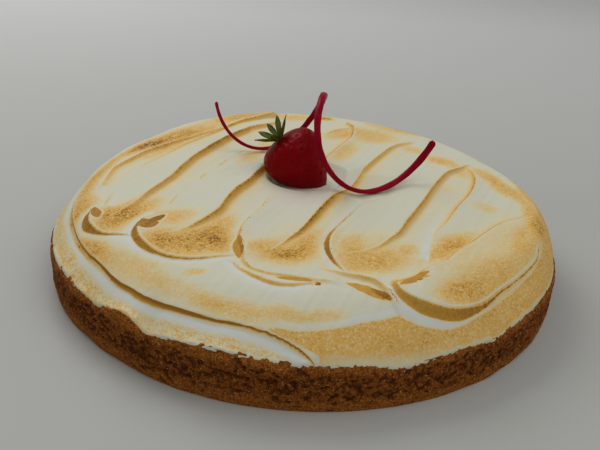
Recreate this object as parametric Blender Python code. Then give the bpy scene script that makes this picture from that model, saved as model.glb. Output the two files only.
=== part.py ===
"""A strawberry rhubarb meringue pie, 24 cm across, topped with a berry and a red curl.

The pie stands on z = 0 with its middle on the z axis. The front, where the spatula
strokes of the meringue end, is towards -y. Lengths are in metres; the marks of the
spatula are listed in millimetres and angles in degrees.
"""

import math

import bpy
import numpy as np
from mathutils import Vector
from mathutils.geometry import delaunay_2d_cdt

MM = 0.001

# Driving dimensions
PIE_RADIUS = 0.120          # a 24 cm tart ring
CRUST_HEIGHT = 0.0200       # its 2 cm wall
BED_HEIGHT = 0.0165         # top of the filling, under the meringue
BED_RADIUS = 0.108
MERINGUE_RADIUS = 0.1186
MERINGUE_FRONT = 0.0140     # rise of the meringue above the crust, front and back
MERINGUE_BACK = 0.0210
SECOND_COAT = 0.0018        # thickness of the second coat, whose edge shows on the left
GAP = 0.00035               # between pieces that touch

BERRY_LENGTH = 0.0365
BERRY_GIRTH = 0.0139
BERRY_TAPER = 0.48
BERRY_TILT = 40.7           # of the stem end towards the left
BERRY_CENTRE = (-0.0038, 0.0136, 0.0436)
BERRY_FOOT = 0.0347         # height of the flat foot that sits in the meringue
# leaves of the calyx: direction in degrees and reach in mm
CALYX_LEAVES = [
    (-12, 9.6), (30, 8.0), (70, 10.6), (104, 9.8), (137, 10.2), (180, 9.4), (222, 10.2),
    (270, 8.0), (310, 8.0),
]
CALYX_THICKNESS = 0.0006

CURL_CENTRE = (-0.0250, 0.0421, 0.0560)
CURL_AXIS = -36.0           # direction of the curl's axis in plan
CURL_PITCH = 0.0699
CURL_RADIUS = 0.0152
CURL_WIDENING = 0.0083      # gain of radius in one turn
CURL_CLIMB = 0.061
CURL_LEAN = 0.0022          # of its top loop to the right
CURL_START = -132.0
CURL_END = 445.0

# Fineness of the solids
EDGE_STEPS = 200            # points round the rim
SIDE_STEPS = 5
LINE_STEP = 0.0027          # between points along a crest
LINE_CLEAR = 0.0015
FIELD_STEP = 0.0056         # between points on the smooth meringue
FIELD_CLEAR = 0.0033

# Where the crust's rim stands higher or lower: direction, width in degrees, rise in mm
RIM_BUMPS = [
    (-145, 6, 1.4), (-124, 5, 3.2), (-118, 2, -2.2), (-104, 8, 2.2),
    (-71, 6, -2.6), (-50, 3, -2.0), (-36, 9, 1.6), (40, 20, 0.7), (110, 25, 0.9),
]

# Shoulder of the meringue's dome, by direction in degrees: its width in mm and how square
# it is, from 1 for a slope like a sine to 0 for a step
SHOULDER = [
    (-180, 24, 0.75), (-135, 27.5, 0.86), (-90, 29, 0.86), (-50, 26, 0.86), (-20, 13, 0.75),
    (0, 12, 0.6), (30, 17, 0.6), (65, 14, 0.6), (95, 9, 0.6), (125, 11, 0.6), (150, 20, 0.6),
    (180, 24, 0.75),
]

# Marks of the spatula. Each is the crest of a ridge seen from above, with its gentle
# side on the left of the way from first to last point, and its steep side on the right:
# points (mm), then at even steps along it crest heights and widths of the steep side (mm),
# and the width of the gentle side (mm).
STROKES = [
    # rounded ends of the strokes, from left to right
    ([(-88, -37), (-91.5, -39), (-92.5, -43), (-91.5, -48), (-88.5, -52), (-84.5, -55.5),
      (-79.5, -57.5), (-74, -58.5)], (2.0, 3.4, 3.2, 2.4, 1.2, 0.8, 0.6),
     (2.4, 4.0, 3.6, 2.4, 1.3, 1.0, 0.9), 13),
    ([(-65, -40), (-67.5, -46), (-68.5, -51.5), (-68.5, -57), (-66.5, -62.5), (-63, -67.5),
      (-58, -72), (-52, -75), (-45, -75.5), (-38, -74), (-33, -72), (-29, -71)],
     (1.2, 3.2, 3.2, 2.6, 1.6, 1.2, 0.9, 0.6), (2.0, 3.2, 3.0, 2.4, 1.3, 1.1, 0.9, 0.8), 14),
    ([(-14, -8.5), (-17, -17), (-19, -26), (-21.5, -33.5), (-24.5, -42), (-26, -50),
      (-26, -57), (-24, -64), (-23, -70), (-22.5, -75), (-19.5, -80), (-14, -83), (-8, -84),
      (-1, -84.5), (5, -85.5), (11, -86)], (0.5, 1.3, 2.2, 2.6, 2.0, 1.4, 1.2, 0.8), (2.0,), 14),
    ([(-27, -75.5), (-24, -79.5), (-20.5, -82.5), (-15, -86.5), (-10, -89), (-4, -89.5),
      (1.5, -88), (5, -87)], (0.4, 0.9, 1.2, 1.2, 1.0, 0.5), (0.9, 1.3, 1.7, 1.7, 1.3, 0.8), 6),
    ([(36, -3.5), (29.5, -12.5), (24, -23), (20, -32), (17, -40), (13.5, -47.5), (11.5, -54),
      (11, -60), (11.5, -66), (13.5, -72), (16.5, -78)],
     (0.5, 1.2, 1.6, 2.2, 3.0, 2.8, 1.8, 0.8), (1.0, 1.1, 1.3, 2.2, 3.0, 2.8, 1.9, 1.0), 13),
    ([(8, -77), (13, -79), (18, -80.5), (24, -82.5), (28.5, -85), (32, -89.5), (35, -95)],
     (0.6, 1.4, 1.9, 1.9, 1.4), (2.0,), 4),
    ([(35.5, -87), (37.5, -91), (42, -94), (48, -95), (54, -94.5), (60, -92.5), (66, -88.5),
      (72, -83), (77.5, -77), (83.5, -71), (89, -65), (94, -58.5), (98.5, -51.5),
      (100.5, -45.5)], (3.0, 4.6, 4.4, 3.0, 1.8, 1.3, 1.0, 0.5),
     (2.2, 3.0, 2.8, 1.9, 1.2, 1.0, 0.9, 0.8), 20),
    # long crests between the strokes, from left to right
    ([(-96.5, -13), (-96.5, -7), (-96.5, 2.5), (-95.5, 8.5), (-90.5, 19), (-85, 30.5),
      (-77.5, 40.5), (-68.5, 50.5), (-58, 63), (-48, 76.5), (-38, 91.5)],
     (0.8, 1.6, 2.0, 2.0, 1.4), (2.6,), 8),
    ([(-84, 11), (-76, 27.5), (-69, 41), (-61, 53.5), (-52.5, 67.5), (-43.5, 82.5),
      (-33.5, 93), (-24, 102)], (0.4, 1.0, 1.6, 2.2, 3.0), (2.2,), 8),
    ([(-90, -37), (-89.5, -33.5), (-89.5, -27), (-89.5, -20.5)], (0.8, 1.0, 0.6), (1.8,), 5),
    ([(-83, -44.5), (-80.5, -39), (-78.5, -34.5), (-75.5, -27.5), (-73.5, -21.5), (-71, -14.5),
      (-68.5, -8), (-66, 0), (-63.5, 9.5), (-61, 19), (-57.5, 30), (-53, 41.5), (-45, 59),
      (-36, 74), (-30, 80.5), (-20, 89.5)], (0.6, 1.8, 2.4, 3.0, 3.0, 2.4, 1.2), (2.6,), 13),
    ([(-57, -57.5), (-55, -56), (-50, -52), (-45, -45), (-42, -40), (-38.5, -33),
      (-36.5, -23.5), (-33, -11), (-28, 0.5), (-25.5, 10.5), (-21.5, 22), (-18, 32)],
     (0.4, 1.6, 2.4, 2.8, 2.8, 2.6, 1.6), (2.6,), 14),
    ([(-12, -65), (-10, -62), (-6.5, -56), (-1.5, -47.5), (3, -36), (8, -23), (11.5, -15),
      (15, -6.5), (22.5, 8.5), (29, 25), (35.5, 39), (42.5, 52.5), (49, 62.5), (57, 69)],
     (0.5, 1.8, 2.6, 2.4, 2.0, 1.8, 1.8, 1.6, 0.8), (2.4,), 13),
    ([(16, -65.5), (23, -63), (31, -57.5), (36, -51), (40.5, -44.5), (44, -36.5),
      (47.5, -28.5), (55, -11.5), (60.5, 2), (64.5, 11), (71.5, 25), (78.5, 32.5), (84, 37.5)],
     (0.3, 1.4, 2.4, 2.4, 2.4, 2.2, 1.4), (2.4,), 14),
    ([(83, 38), (85, 32), (86, 23), (84, 11.5), (78.5, -2.5), (71.5, -15), (64.5, -30),
      (58.5, -41), (55, -52.5), (53, -63)], (1.0, 2.2, 2.2, 1.8, 1.4, 0.5), (2.2,), 9),
    ([(104, -19), (100.5, -20.5), (96, -23), (92, -26), (85, -33), (77.5, -42.5), (71, -51),
      (63, -60.5), (56.5, -69), (49.5, -75), (44.5, -81), (39, -86), (35.5, -88.5)],
     (0.6, 1.2, 1.8, 2.2, 2.4, 2.8, 2.4), (2.6,), 15),
    ([(23, 96), (26, 86), (24.5, 70.5), (19, 57.5), (12.5, 43), (9.5, 36)], (1.2, 2.2, 1.9, 1.0),
     (2.4,), 8),
    ([(7.5, 74.5), (13, 80.5), (18, 84.5), (24.5, 88.5)], (0.3, 0.8, 0.6), (1.8,), 5),
]

# Edge of the second coat at the front left, thick on its left side: points, and at even
# steps the width of its wall, both in mm
COAT_EDGE = [
    (-105, 34), (-108, 16), (-109, 2), (-107, -22), (-103, -36.5), (-95.5, -52.5),
    (-88, -64), (-80, -73), (-71, -83), (-64.5, -88.5), (-58.5, -93), (-52, -96),
    (-45, -99.5), (-38, -102.5), (-30.5, -105.3), (-23, -107.1), (-17, -108.7),
    (-11, -110.3), (-5, -112.3), (1, -114.9), (6, -118),
]
COAT_WALL = (1.0, 1.0, 1.0, 1.1, 1.3, 2.8, 1.7, 1.4, 1.1, 0.9)

# Where the toppings press the meringue down: x, y, height and radius of the pressed
# spot, then the slope of its side
BERRY_SPOT = (-0.0005, 0.0135, BERRY_FOOT - GAP, 0.0165, 0.9)


def clear_scene():
    """Remove every object of the open scene."""
    for obj in list(bpy.data.objects):
        bpy.data.objects.remove(obj, do_unlink=True)


def finish(name, base_color, roughness, metallic=0.0):
    """Make the plain material of one piece."""
    material = bpy.data.materials.new(name)
    material.use_nodes = True
    shader = material.node_tree.nodes["Principled BSDF"]
    shader.inputs["Base Color"].default_value = (*base_color, 1.0)
    shader.inputs["Roughness"].default_value = roughness
    shader.inputs["Metallic"].default_value = metallic
    return material


def solid(name, points, faces, material):
    """Make one closed piece from its points and faces."""
    mesh = bpy.data.meshes.new(name)
    mesh.from_pydata([tuple(p) for p in points], [], [tuple(f) for f in faces])
    mesh.materials.append(material)
    mesh.update()
    mesh.shade_smooth()
    obj = bpy.data.objects.new(name, mesh)
    bpy.context.scene.collection.objects.link(obj)
    return obj


def ring_faces(lower, upper, count):
    """Triangles between two rings of equal count, seen from outside with upper above."""
    k = np.arange(count)
    nxt = (k + 1) % count
    first = np.stack([lower + k, lower + nxt, upper + nxt], axis=1)
    second = np.stack([lower + k, upper + nxt, upper + k], axis=1)
    return np.concatenate([first, second]).tolist()


def smooth_step(t):
    """Ease from 0 to 1 as t goes from 0 to 1."""
    t = np.clip(t, 0.0, 1.0)
    return t * t * (3.0 - 2.0 * t)


def rim_height(angle):
    """Height of the crust's rim in a direction, in radians: its own height plus bumps."""
    height = np.full_like(angle, CRUST_HEIGHT)
    for direction, width, rise in RIM_BUMPS:
        turn = np.angle(np.exp(1j * (angle - math.radians(direction))))
        height += rise * MM * np.exp(-(turn / math.radians(width)) ** 2)
    return height


def crust_radius(angle, level):
    """Radius of the crust's side: rough, a little drawn in at the front left."""
    quiet = np.sin(2.0 * angle) ** 2
    rough = np.sin(23 * angle + 5.0 * level) + np.sin(37 * angle - 9.0 * level + 1.3)
    dent = np.exp(-(np.angle(np.exp(1j * (angle + 2.23))) / 0.25) ** 2)
    foot = 0.0009 * np.exp(-(level / 0.12) ** 2) + 0.0007 * smooth_step((level - 0.85) / 0.15)
    return PIE_RADIUS - foot - quiet * (0.00035 * (1.0 + 0.5 * rough) + 0.0011 * dent)


def make_crust():
    """The baked shell with its filling: a puck whose rim stands round a flat bed."""
    angle = np.linspace(0.0, 2.0 * math.pi, EDGE_STEPS, endpoint=False)
    rim = rim_height(angle)
    rings = []
    for level in np.linspace(0.0, 1.0, SIDE_STEPS):
        rings.append((crust_radius(angle, level), level * (rim - 0.0004)))
    rings.append((np.full_like(angle, MERINGUE_RADIUS), rim))
    rings.append((np.full_like(angle, BED_RADIUS), np.full_like(angle, BED_HEIGHT)))
    points = []
    for radius, height in rings:
        points.append(np.stack([radius * np.cos(angle), radius * np.sin(angle), height], axis=1))
    points = np.concatenate(points)
    faces = []
    for ring in range(len(rings) - 1):
        faces += ring_faces(ring * EDGE_STEPS, (ring + 1) * EDGE_STEPS, EDGE_STEPS)
    faces.append(range(EDGE_STEPS - 1, -1, -1))
    faces.append(range((len(rings) - 1) * EDGE_STEPS, len(rings) * EDGE_STEPS))
    return solid("crust", points, faces, finish("baked crust", (0.27, 0.12, 0.035), 0.85))


def smooth_line(points, spans=6):
    """A smooth line through the points: Catmull-Rom, with some steps to each span."""
    p = np.asarray(points, dtype=float)
    p = np.concatenate([[2 * p[0] - p[1]], p, [2 * p[-1] - p[-2]]])
    t = np.linspace(0.0, 1.0, spans, endpoint=False)[:, None]
    line = []
    for a, b, c, d in zip(p[:-3], p[1:-2], p[2:-1], p[3:]):
        line.append(0.5 * (2 * b + (c - a) * t + (2 * a - 5 * b + 4 * c - d) * t ** 2
                           + (3 * b - a - 3 * c + d) * t ** 3))
    line.append(p[-2][None])
    return np.concatenate(line)


def along_line(xy, line):
    """For each point: signed distance to the line (left is positive), the share of the
    line's length at the nearest place, how far past an end it lies, and that place."""
    start = line[:-1]
    step = line[1:] - start
    length = np.linalg.norm(step, axis=1)
    off = xy[:, None, :] - start[None]
    raw = (off * step[None]).sum(axis=2) / length ** 2
    near = start[None] + np.clip(raw, 0.0, 1.0)[..., None] * step[None]
    dist = np.linalg.norm(xy[:, None, :] - near, axis=2)
    best = np.argmin(dist, axis=1)
    row = np.arange(len(xy))
    side = step[best, 0] * off[row, best, 1] - step[best, 1] * off[row, best, 0]
    share = np.clip(raw[row, best], 0.0, 1.0)
    done = np.concatenate([[0.0], np.cumsum(length)])
    place = (done[best] + share * length[best]) / done[-1]
    past = np.abs(raw[row, best] - share) * length[best]
    return np.sign(side) * dist[row, best], place, past, near[row, best]


def at_steps(place, values):
    """Values given at even steps along a line, joined straight."""
    return np.interp(place, np.linspace(0.0, 1.0, len(values)), values)


def stroke_relief(xy):
    """Height in mm that the spatula's marks add: each crest falls off steeply on its
    right and gently on its left, and the marks are joined by a fourth-power sum."""
    total = np.zeros(len(xy))
    for points, heights, widths, gentle in STROKES:
        dist, place, past, _ = along_line(xy, smooth_line(points))
        dist = np.sign(dist) * np.sqrt(np.maximum(dist ** 2 - past ** 2, 0.0))
        left = np.exp(-np.abs(dist) / gentle)
        right = 1.0 - smooth_step(-dist / at_steps(place, widths))
        fall = np.where(dist > 0, left, right)
        total += (at_steps(place, heights) * fall * np.exp(-(past / 4.0) ** 2)) ** 4
    return total ** 0.25


def shoulder_at(direction):
    """Width and squareness of the shoulder in a direction, eased between the listed ones."""
    stops, widths, squares = np.array(SHOULDER, dtype=float).T
    k = np.clip(np.searchsorted(stops, direction, side="right") - 1, 0, len(stops) - 2)
    t = smooth_step((direction - stops[k]) / (stops[k + 1] - stops[k]))
    return (widths[k] + t * (widths[k + 1] - widths[k]),
            squares[k] + t * (squares[k + 1] - squares[k]))


def meringue_height(xy):
    """Height of the meringue's top: a low dome, the second coat's step and the marks."""
    radius = np.hypot(xy[:, 0], xy[:, 1])
    angle = np.arctan2(xy[:, 1], xy[:, 0])
    back = 0.5 + 0.5 * np.clip(xy[:, 1] / 0.100, -1.0, 1.0)
    rise = MERINGUE_FRONT + (MERINGUE_BACK - MERINGUE_FRONT) * back
    shoulder, square = shoulder_at(np.degrees(angle))
    inward = np.clip((MERINGUE_RADIUS - radius) / (shoulder * MM), 0.0, 1.0)
    dome = 0.0006 + (rise - 0.0006) * np.sin(0.5 * math.pi * inward) ** square
    edge, place, past, _ = along_line(xy / MM, smooth_line(COAT_EDGE))
    wall = at_steps(place, COAT_WALL)
    sunk = SECOND_COAT * (1.0 - smooth_step((edge + wall) / wall)) * np.exp(-(past / 5.0) ** 2)
    dome = np.maximum(dome - sunk, 0.0006 + 0.5 * (dome - 0.0006))
    inner = 1.0 - smooth_step((radius - 0.110) / 0.008)
    rim = (rim_height(angle) - CRUST_HEIGHT) * np.exp(-(MERINGUE_RADIUS - radius) / 0.006)
    height = CRUST_HEIGHT + dome + rim + inner * MM * stroke_relief(xy / MM)
    for x, y, level, reach, slope in [BERRY_SPOT] + curl_spots():
        away = np.maximum(np.hypot(xy[:, 0] - x, xy[:, 1] - y) - reach, 0.0)
        height = np.minimum(height, level + slope * away)
    return height


def keep_apart(kept, more, clearance):
    """Add the new points that lie clear of all the points kept so far."""
    for point in more:
        if np.min(np.hypot(*(np.array(kept) - point).T)) > clearance:
            kept.append(point)


def circle(radius, spacing):
    """Points on a circle about the z axis, about a spacing apart."""
    count = int(2.0 * math.pi * radius / spacing)
    angle = 2.0 * math.pi * np.arange(count) / count
    return radius * np.stack([np.cos(angle), np.sin(angle)], axis=1)


def mark_lines(points, widths):
    """Points along a mark's crest, along the foot of its steep side and just behind its
    crest, evenly spaced."""
    line = smooth_line(points) * MM
    length = np.concatenate([[0.0], np.cumsum(np.linalg.norm(np.diff(line, axis=0), axis=1))])
    stops = np.linspace(0.0, length[-1], int(length[-1] / LINE_STEP) + 2)
    crest = np.stack([np.interp(stops, length, line[:, 0]),
                      np.interp(stops, length, line[:, 1])], axis=1)
    ahead = np.gradient(crest, axis=0)
    ahead /= np.linalg.norm(ahead, axis=1)[:, None]
    left = np.stack([-ahead[:, 1], ahead[:, 0]], axis=1)
    wall = MM * np.maximum(at_steps(stops / length[-1], widths), 1.5)[:, None]
    return [crest, crest - left * wall, crest + left * wall]


def lay_out_points():
    """Where the meringue's surface has its points, seen from above: its edge, the edge of
    the second coat, the marks of the spatula, then an even field in between."""
    kept = list(circle(MERINGUE_RADIUS, 2 * math.pi * MERINGUE_RADIUS / (EDGE_STEPS + 0.5)))
    keep_apart(kept, circle(MERINGUE_RADIUS - 0.0035, 0.0045), 0.003)
    lines = [mark_lines(points, widths) for points, _, widths, _ in STROKES]
    lines.append(mark_lines(COAT_EDGE, COAT_WALL)[:2] + [np.zeros((0, 2))])
    inside = MERINGUE_RADIUS - 0.006
    for part in range(3):
        for line in lines:
            keep_apart(kept, line[part][np.hypot(*line[part].T) < inside], LINE_CLEAR)
    ticks = np.arange(-MERINGUE_RADIUS, MERINGUE_RADIUS, FIELD_STEP)
    x, y = np.meshgrid(ticks, ticks * 0.866)
    x = x + 0.5 * FIELD_STEP * (np.arange(len(ticks)) % 2)[:, None]
    field = np.stack([x.ravel(), y.ravel()], axis=1)
    field = np.concatenate([field, field + [0.0, 0.866 * FIELD_STEP * len(ticks)],
                            field - [0.0, 0.866 * FIELD_STEP * len(ticks)]])
    keep_apart(kept, field[np.hypot(*field.T) < MERINGUE_RADIUS - 0.006], FIELD_CLEAR)
    return np.array(kept)


def make_meringue():
    """The whole cap of meringue, from its edge on the crust to the tops of its ridges."""
    found = delaunay_2d_cdt([Vector(p) for p in lay_out_points()], [], [], 0, 1e-7)
    flat = np.array([tuple(p) for p in found[0]])
    top = np.column_stack([flat, meringue_height(flat)])
    faces = [tuple(face) for face in found[2]]
    ids = np.nonzero(np.hypot(flat[:, 0], flat[:, 1]) > MERINGUE_RADIUS - 1e-6)[0]
    ids = ids[np.argsort(np.arctan2(flat[ids, 1], flat[ids, 0]) % (2.0 * math.pi - 1e-6))]
    angle = np.arctan2(flat[ids, 1], flat[ids, 0])
    under = np.column_stack([flat[ids], rim_height(angle) + GAP])
    bed = np.column_stack([BED_RADIUS * np.cos(angle), BED_RADIUS * np.sin(angle),
                           np.full_like(angle, BED_HEIGHT + GAP)])
    count = len(top)
    for k in range(EDGE_STEPS):
        n = (k + 1) % EDGE_STEPS
        faces.append((count + k, count + n, ids[n]))
        faces.append((count + k, ids[n], ids[k]))
    for a, b, c in ring_faces(count, count + EDGE_STEPS, EDGE_STEPS):
        faces.append((c, b, a))
    faces.append(range(count + 2 * EDGE_STEPS - 1, count + EDGE_STEPS - 1, -1))
    return solid("meringue", np.concatenate([top, under, bed]), faces,
                 finish("toasted meringue", (0.80, 0.72, 0.56), 0.6))


def tilt_berry(points):
    """Turn points about the y axis so that the stem leans to the left, and place them."""
    turn = math.radians(BERRY_TILT)
    x = math.cos(turn) * points[:, 0] - math.sin(turn) * points[:, 2]
    z = math.sin(turn) * points[:, 0] + math.cos(turn) * points[:, 2]
    return np.column_stack([x, points[:, 1], z]) + np.array(BERRY_CENTRE)


def berry_surface(sweep, turn):
    """A point of the berry: sweep runs from the stem, 0, to the tip, pi, round the axis
    by turn; the girth follows a sine, fuller towards the stem."""
    along = 0.5 * BERRY_LENGTH * (np.cos(sweep) - 0.1 * np.maximum(np.cos(sweep), 0.0) ** 2)
    dimples = 1.0 + 0.012 * np.sin(9 * turn + 4 * sweep) * np.sin(7 * sweep)
    girth = BERRY_GIRTH * np.sin(sweep) ** 0.85 * (1.0 + BERRY_TAPER * np.cos(sweep)) * dimples
    return np.stack([girth * np.cos(turn), girth * np.sin(turn), along], axis=-1)


def make_strawberry():
    """The berry, leaning on its flank, with a flat foot where it sits in the meringue."""
    sides = 28
    rows = 20
    sweep = np.linspace(0.0, math.pi, rows + 1)[1:-1]
    turn = np.linspace(0.0, 2.0 * math.pi, sides, endpoint=False)
    s, t = np.meshgrid(sweep, turn, indexing="ij")
    body = berry_surface(s, t).reshape(-1, 3)
    ends = berry_surface(np.array([0.0, math.pi]), np.zeros(2))
    points = tilt_berry(np.concatenate([body, ends]))
    points[:, 2] = np.maximum(points[:, 2], BERRY_FOOT)
    faces = []
    for row in range(rows - 2):
        faces += ring_faces((row + 1) * sides, row * sides, sides)
    stem = len(body)
    tip = stem + 1
    last = (rows - 2) * sides
    for k in range(sides):
        n = (k + 1) % sides
        faces.append((stem, k, n))
        faces.append((tip, last + n, last + k))
    return solid("strawberry", points, faces, finish("ripe berry", (0.20, 0.004, 0.008), 0.3))


def make_calyx():
    """The green calyx: one thin star of pointed leaves that lift off the berry."""
    steps = 6
    leaves = len(CALYX_LEAVES)
    count = leaves * steps
    directions, reaches = np.array(CALYX_LEAVES + CALYX_LEAVES[:1], dtype=float).T
    directions[-1] += 360.0
    along = np.arange(count) / steps
    leaf = np.rint(along).astype(int)
    turn = np.radians(np.interp(along, np.arange(leaves + 1), directions))
    point = np.sqrt(1.0 - 2.0 * np.abs(along - leaf))
    outline = 0.0026 + (MM * reaches[leaf] - 0.0026) * point
    base = 0.5 * BERRY_LENGTH * 0.9 + GAP
    rings = [np.zeros((1, 3))]
    for share in (0.25, 0.55, 0.8, 1.0):
        radius = outline * share
        lift = 0.85 * np.maximum(radius - 0.0022, 0.0)
        wave = 0.00035 * np.sin(3.0 * turn + 9.0 * share) * share
        rings.append(np.column_stack([radius * np.cos(turn), radius * np.sin(turn),
                                      lift + wave + 0.00035 * share]))
    sheet = np.concatenate(rings)
    under = sheet + np.array([0.0, 0.0, base])
    upper = under + np.array([0.0, 0.0, CALYX_THICKNESS])
    half = len(sheet)
    one_side = [(0, 1 + k, 1 + (k + 1) % count) for k in range(count)]
    for ring in range(3):
        one_side += [(c, b, a) for a, b, c in
                     ring_faces(1 + ring * count, 1 + (ring + 1) * count, count)]
    faces = [(a + half, b + half, c + half) for a, b, c in one_side]
    faces += [(c, b, a) for a, b, c in one_side]
    faces += ring_faces(1 + 3 * count, half + 1 + 3 * count, count)
    return solid("strawberry_calyx", tilt_berry(np.concatenate([under, upper])), faces,
                 finish("green calyx", (0.05, 0.10, 0.02), 0.55))


def curl_path(phase):
    """Middle line of the curl: a helix about a level axis that widens and climbs; phase
    is in radians, 0 at the bottom of its first turn."""
    axis = math.radians(CURL_AXIS)
    turns = phase / (2.0 * math.pi)
    radius = CURL_RADIUS + CURL_WIDENING * turns
    along = CURL_PITCH * turns
    out = radius * np.sin(phase)
    lean = CURL_LEAN * np.maximum(-np.cos(phase), 0.0) * (phase > 0)
    return np.stack([CURL_CENTRE[0] + lean + math.cos(axis) * along - math.sin(axis) * out,
                     CURL_CENTRE[1] + math.sin(axis) * along + math.cos(axis) * out,
                     CURL_CENTRE[2] + CURL_CLIMB * along - radius * np.cos(phase)], axis=-1)


def curl_size(phase):
    """Half width and half thickness of the curl: slim on the left, fuller on the right."""
    share = smooth_step((phase - math.radians(CURL_START)) / math.radians(300.0))
    return 0.0009 + 0.0009 * share, 0.0008 + 0.0003 * share


def curl_spots():
    """The two places where the bottoms of the curl lie on the meringue."""
    spots = []
    for phase in (0.0, 2.0 * math.pi):
        x, y, z = curl_path(np.array(phase))
        thick = curl_size(np.array(phase))[1]
        spots.append((float(x), float(y), float(z) - thick - GAP, 0.0075, 0.28))
    return spots


def make_curl():
    """The red curl: an oval strand wound one and a half turns, with cut ends."""
    sides = 8
    stations = 72
    phase = np.linspace(math.radians(CURL_START), math.radians(CURL_END), stations)
    path = curl_path(phase)
    ahead = np.gradient(path, axis=0)
    ahead /= np.linalg.norm(ahead, axis=1)[:, None]
    axis = np.array([math.cos(math.radians(CURL_AXIS)), math.sin(math.radians(CURL_AXIS)), 0.0])
    across = axis - (ahead @ axis)[:, None] * ahead
    across /= np.linalg.norm(across, axis=1)[:, None]
    outward = np.cross(ahead, across)
    wide, thick = curl_size(phase)
    rings = []
    for k in range(sides):
        turn = 2.0 * math.pi * (k + 0.5) / sides
        rings.append(path + (wide * math.cos(turn))[:, None] * across
                     + (thick * math.sin(turn))[:, None] * outward)
    points = np.stack(rings, axis=1).reshape(-1, 3)
    faces = []
    for row in range(stations - 1):
        faces += ring_faces(row * sides, (row + 1) * sides, sides)
    faces.append(range(sides - 1, -1, -1))
    faces.append(range((stations - 1) * sides, stations * sides))
    return solid("sugar_curl", points, faces, finish("red sugar", (0.25, 0.004, 0.02), 0.25))


clear_scene()
make_crust()
make_meringue()
make_strawberry()
make_calyx()
make_curl()
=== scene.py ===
"""The looks of a strawberry rhubarb meringue pie: crust, meringue, berry, calyx, curl."""

import math

import bpy
import numpy as np
from mathutils import Matrix, Vector


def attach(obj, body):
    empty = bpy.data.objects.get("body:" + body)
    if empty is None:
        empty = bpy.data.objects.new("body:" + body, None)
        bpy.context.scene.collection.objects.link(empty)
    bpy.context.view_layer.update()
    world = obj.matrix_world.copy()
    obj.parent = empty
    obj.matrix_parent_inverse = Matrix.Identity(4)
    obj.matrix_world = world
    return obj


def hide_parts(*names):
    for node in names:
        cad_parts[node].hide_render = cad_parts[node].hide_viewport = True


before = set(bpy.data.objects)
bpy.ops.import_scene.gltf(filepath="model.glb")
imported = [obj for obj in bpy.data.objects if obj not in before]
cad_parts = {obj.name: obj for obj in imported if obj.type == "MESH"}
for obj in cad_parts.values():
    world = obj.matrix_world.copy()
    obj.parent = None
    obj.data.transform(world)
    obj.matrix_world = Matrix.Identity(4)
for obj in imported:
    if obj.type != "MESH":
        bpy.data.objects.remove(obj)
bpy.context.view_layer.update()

# ---- Crust -------------------------------------------------------
# A shell of short, crumbly dough, baked dark brown in a plain ring with its fruit
# filling, then turned out of the ring. Its side is full of small pits and crumbs, and its
# rim breaks off unevenly.
MM = 0.001
PIE_RADIUS = 0.12
CRUST_HEIGHT = 0.02
# where the rim stands higher or lower: direction, width in degrees, rise in mm
RIM_BUMPS = [
    (-145, 6, 1.4), (-124, 5, 3.2), (-118, 2, -2.2), (-104, 8, 2.2), (-71, 6, -2.6), (-50, 3, -2),
    (-36, 9, 1.6), (40, 20, 0.7), (110, 25, 0.9),
]
CRUST_SIDES = 1500
CRUST_ROWS = 46
# how far each ring past the side is drawn in, over the rim and under the meringue
RIM_STEPS = (0.0006, 0.0016, 0.0035, 0.006)
# the flat place at the front left: direction and width in degrees, depth
DENT_DIRECTION = -127.8
DENT_WIDTH = 14.3
CRUST_DENT = 0.0011
# how far the side waves, and how far its foot and its top are rounded in
CRUST_WAVE = 0.00035
FOOT_ROUND = 0.0009
TOP_ROUND = 0.0007
# sizes of the lumps in the dough, and how deep and high they go
COARSE_LUMP = 0.0034
MIDDLE_LUMP = 0.0015
FINE_LUMP = 0.0008
PIT_DEPTH = 0.0011
CRUMB_HEIGHT = 0.0005
RAGGED_TOP = 0.0011
CRUST_COLOUR = (0.265, 0.068, 0.009)
BAKED_COLOUR = (0.33, 0.094, 0.014)
# painted highlight: the colour of the small glints on the crust
GLINT_COLOUR = (0.62, 0.33, 0.09)
CRUMB_COLOUR = (0.44, 0.165, 0.03)
# painted light: the lighter colour of the lit top of the rim and of the foot
LIT_EDGE_COLOUR = (0.52, 0.165, 0.022)
# painted shade: the near-black colour of the pits, the small hollows and the dark specks
PIT_SHADE_COLOUR = (0.044, 0.0072, 0.0018)


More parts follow.
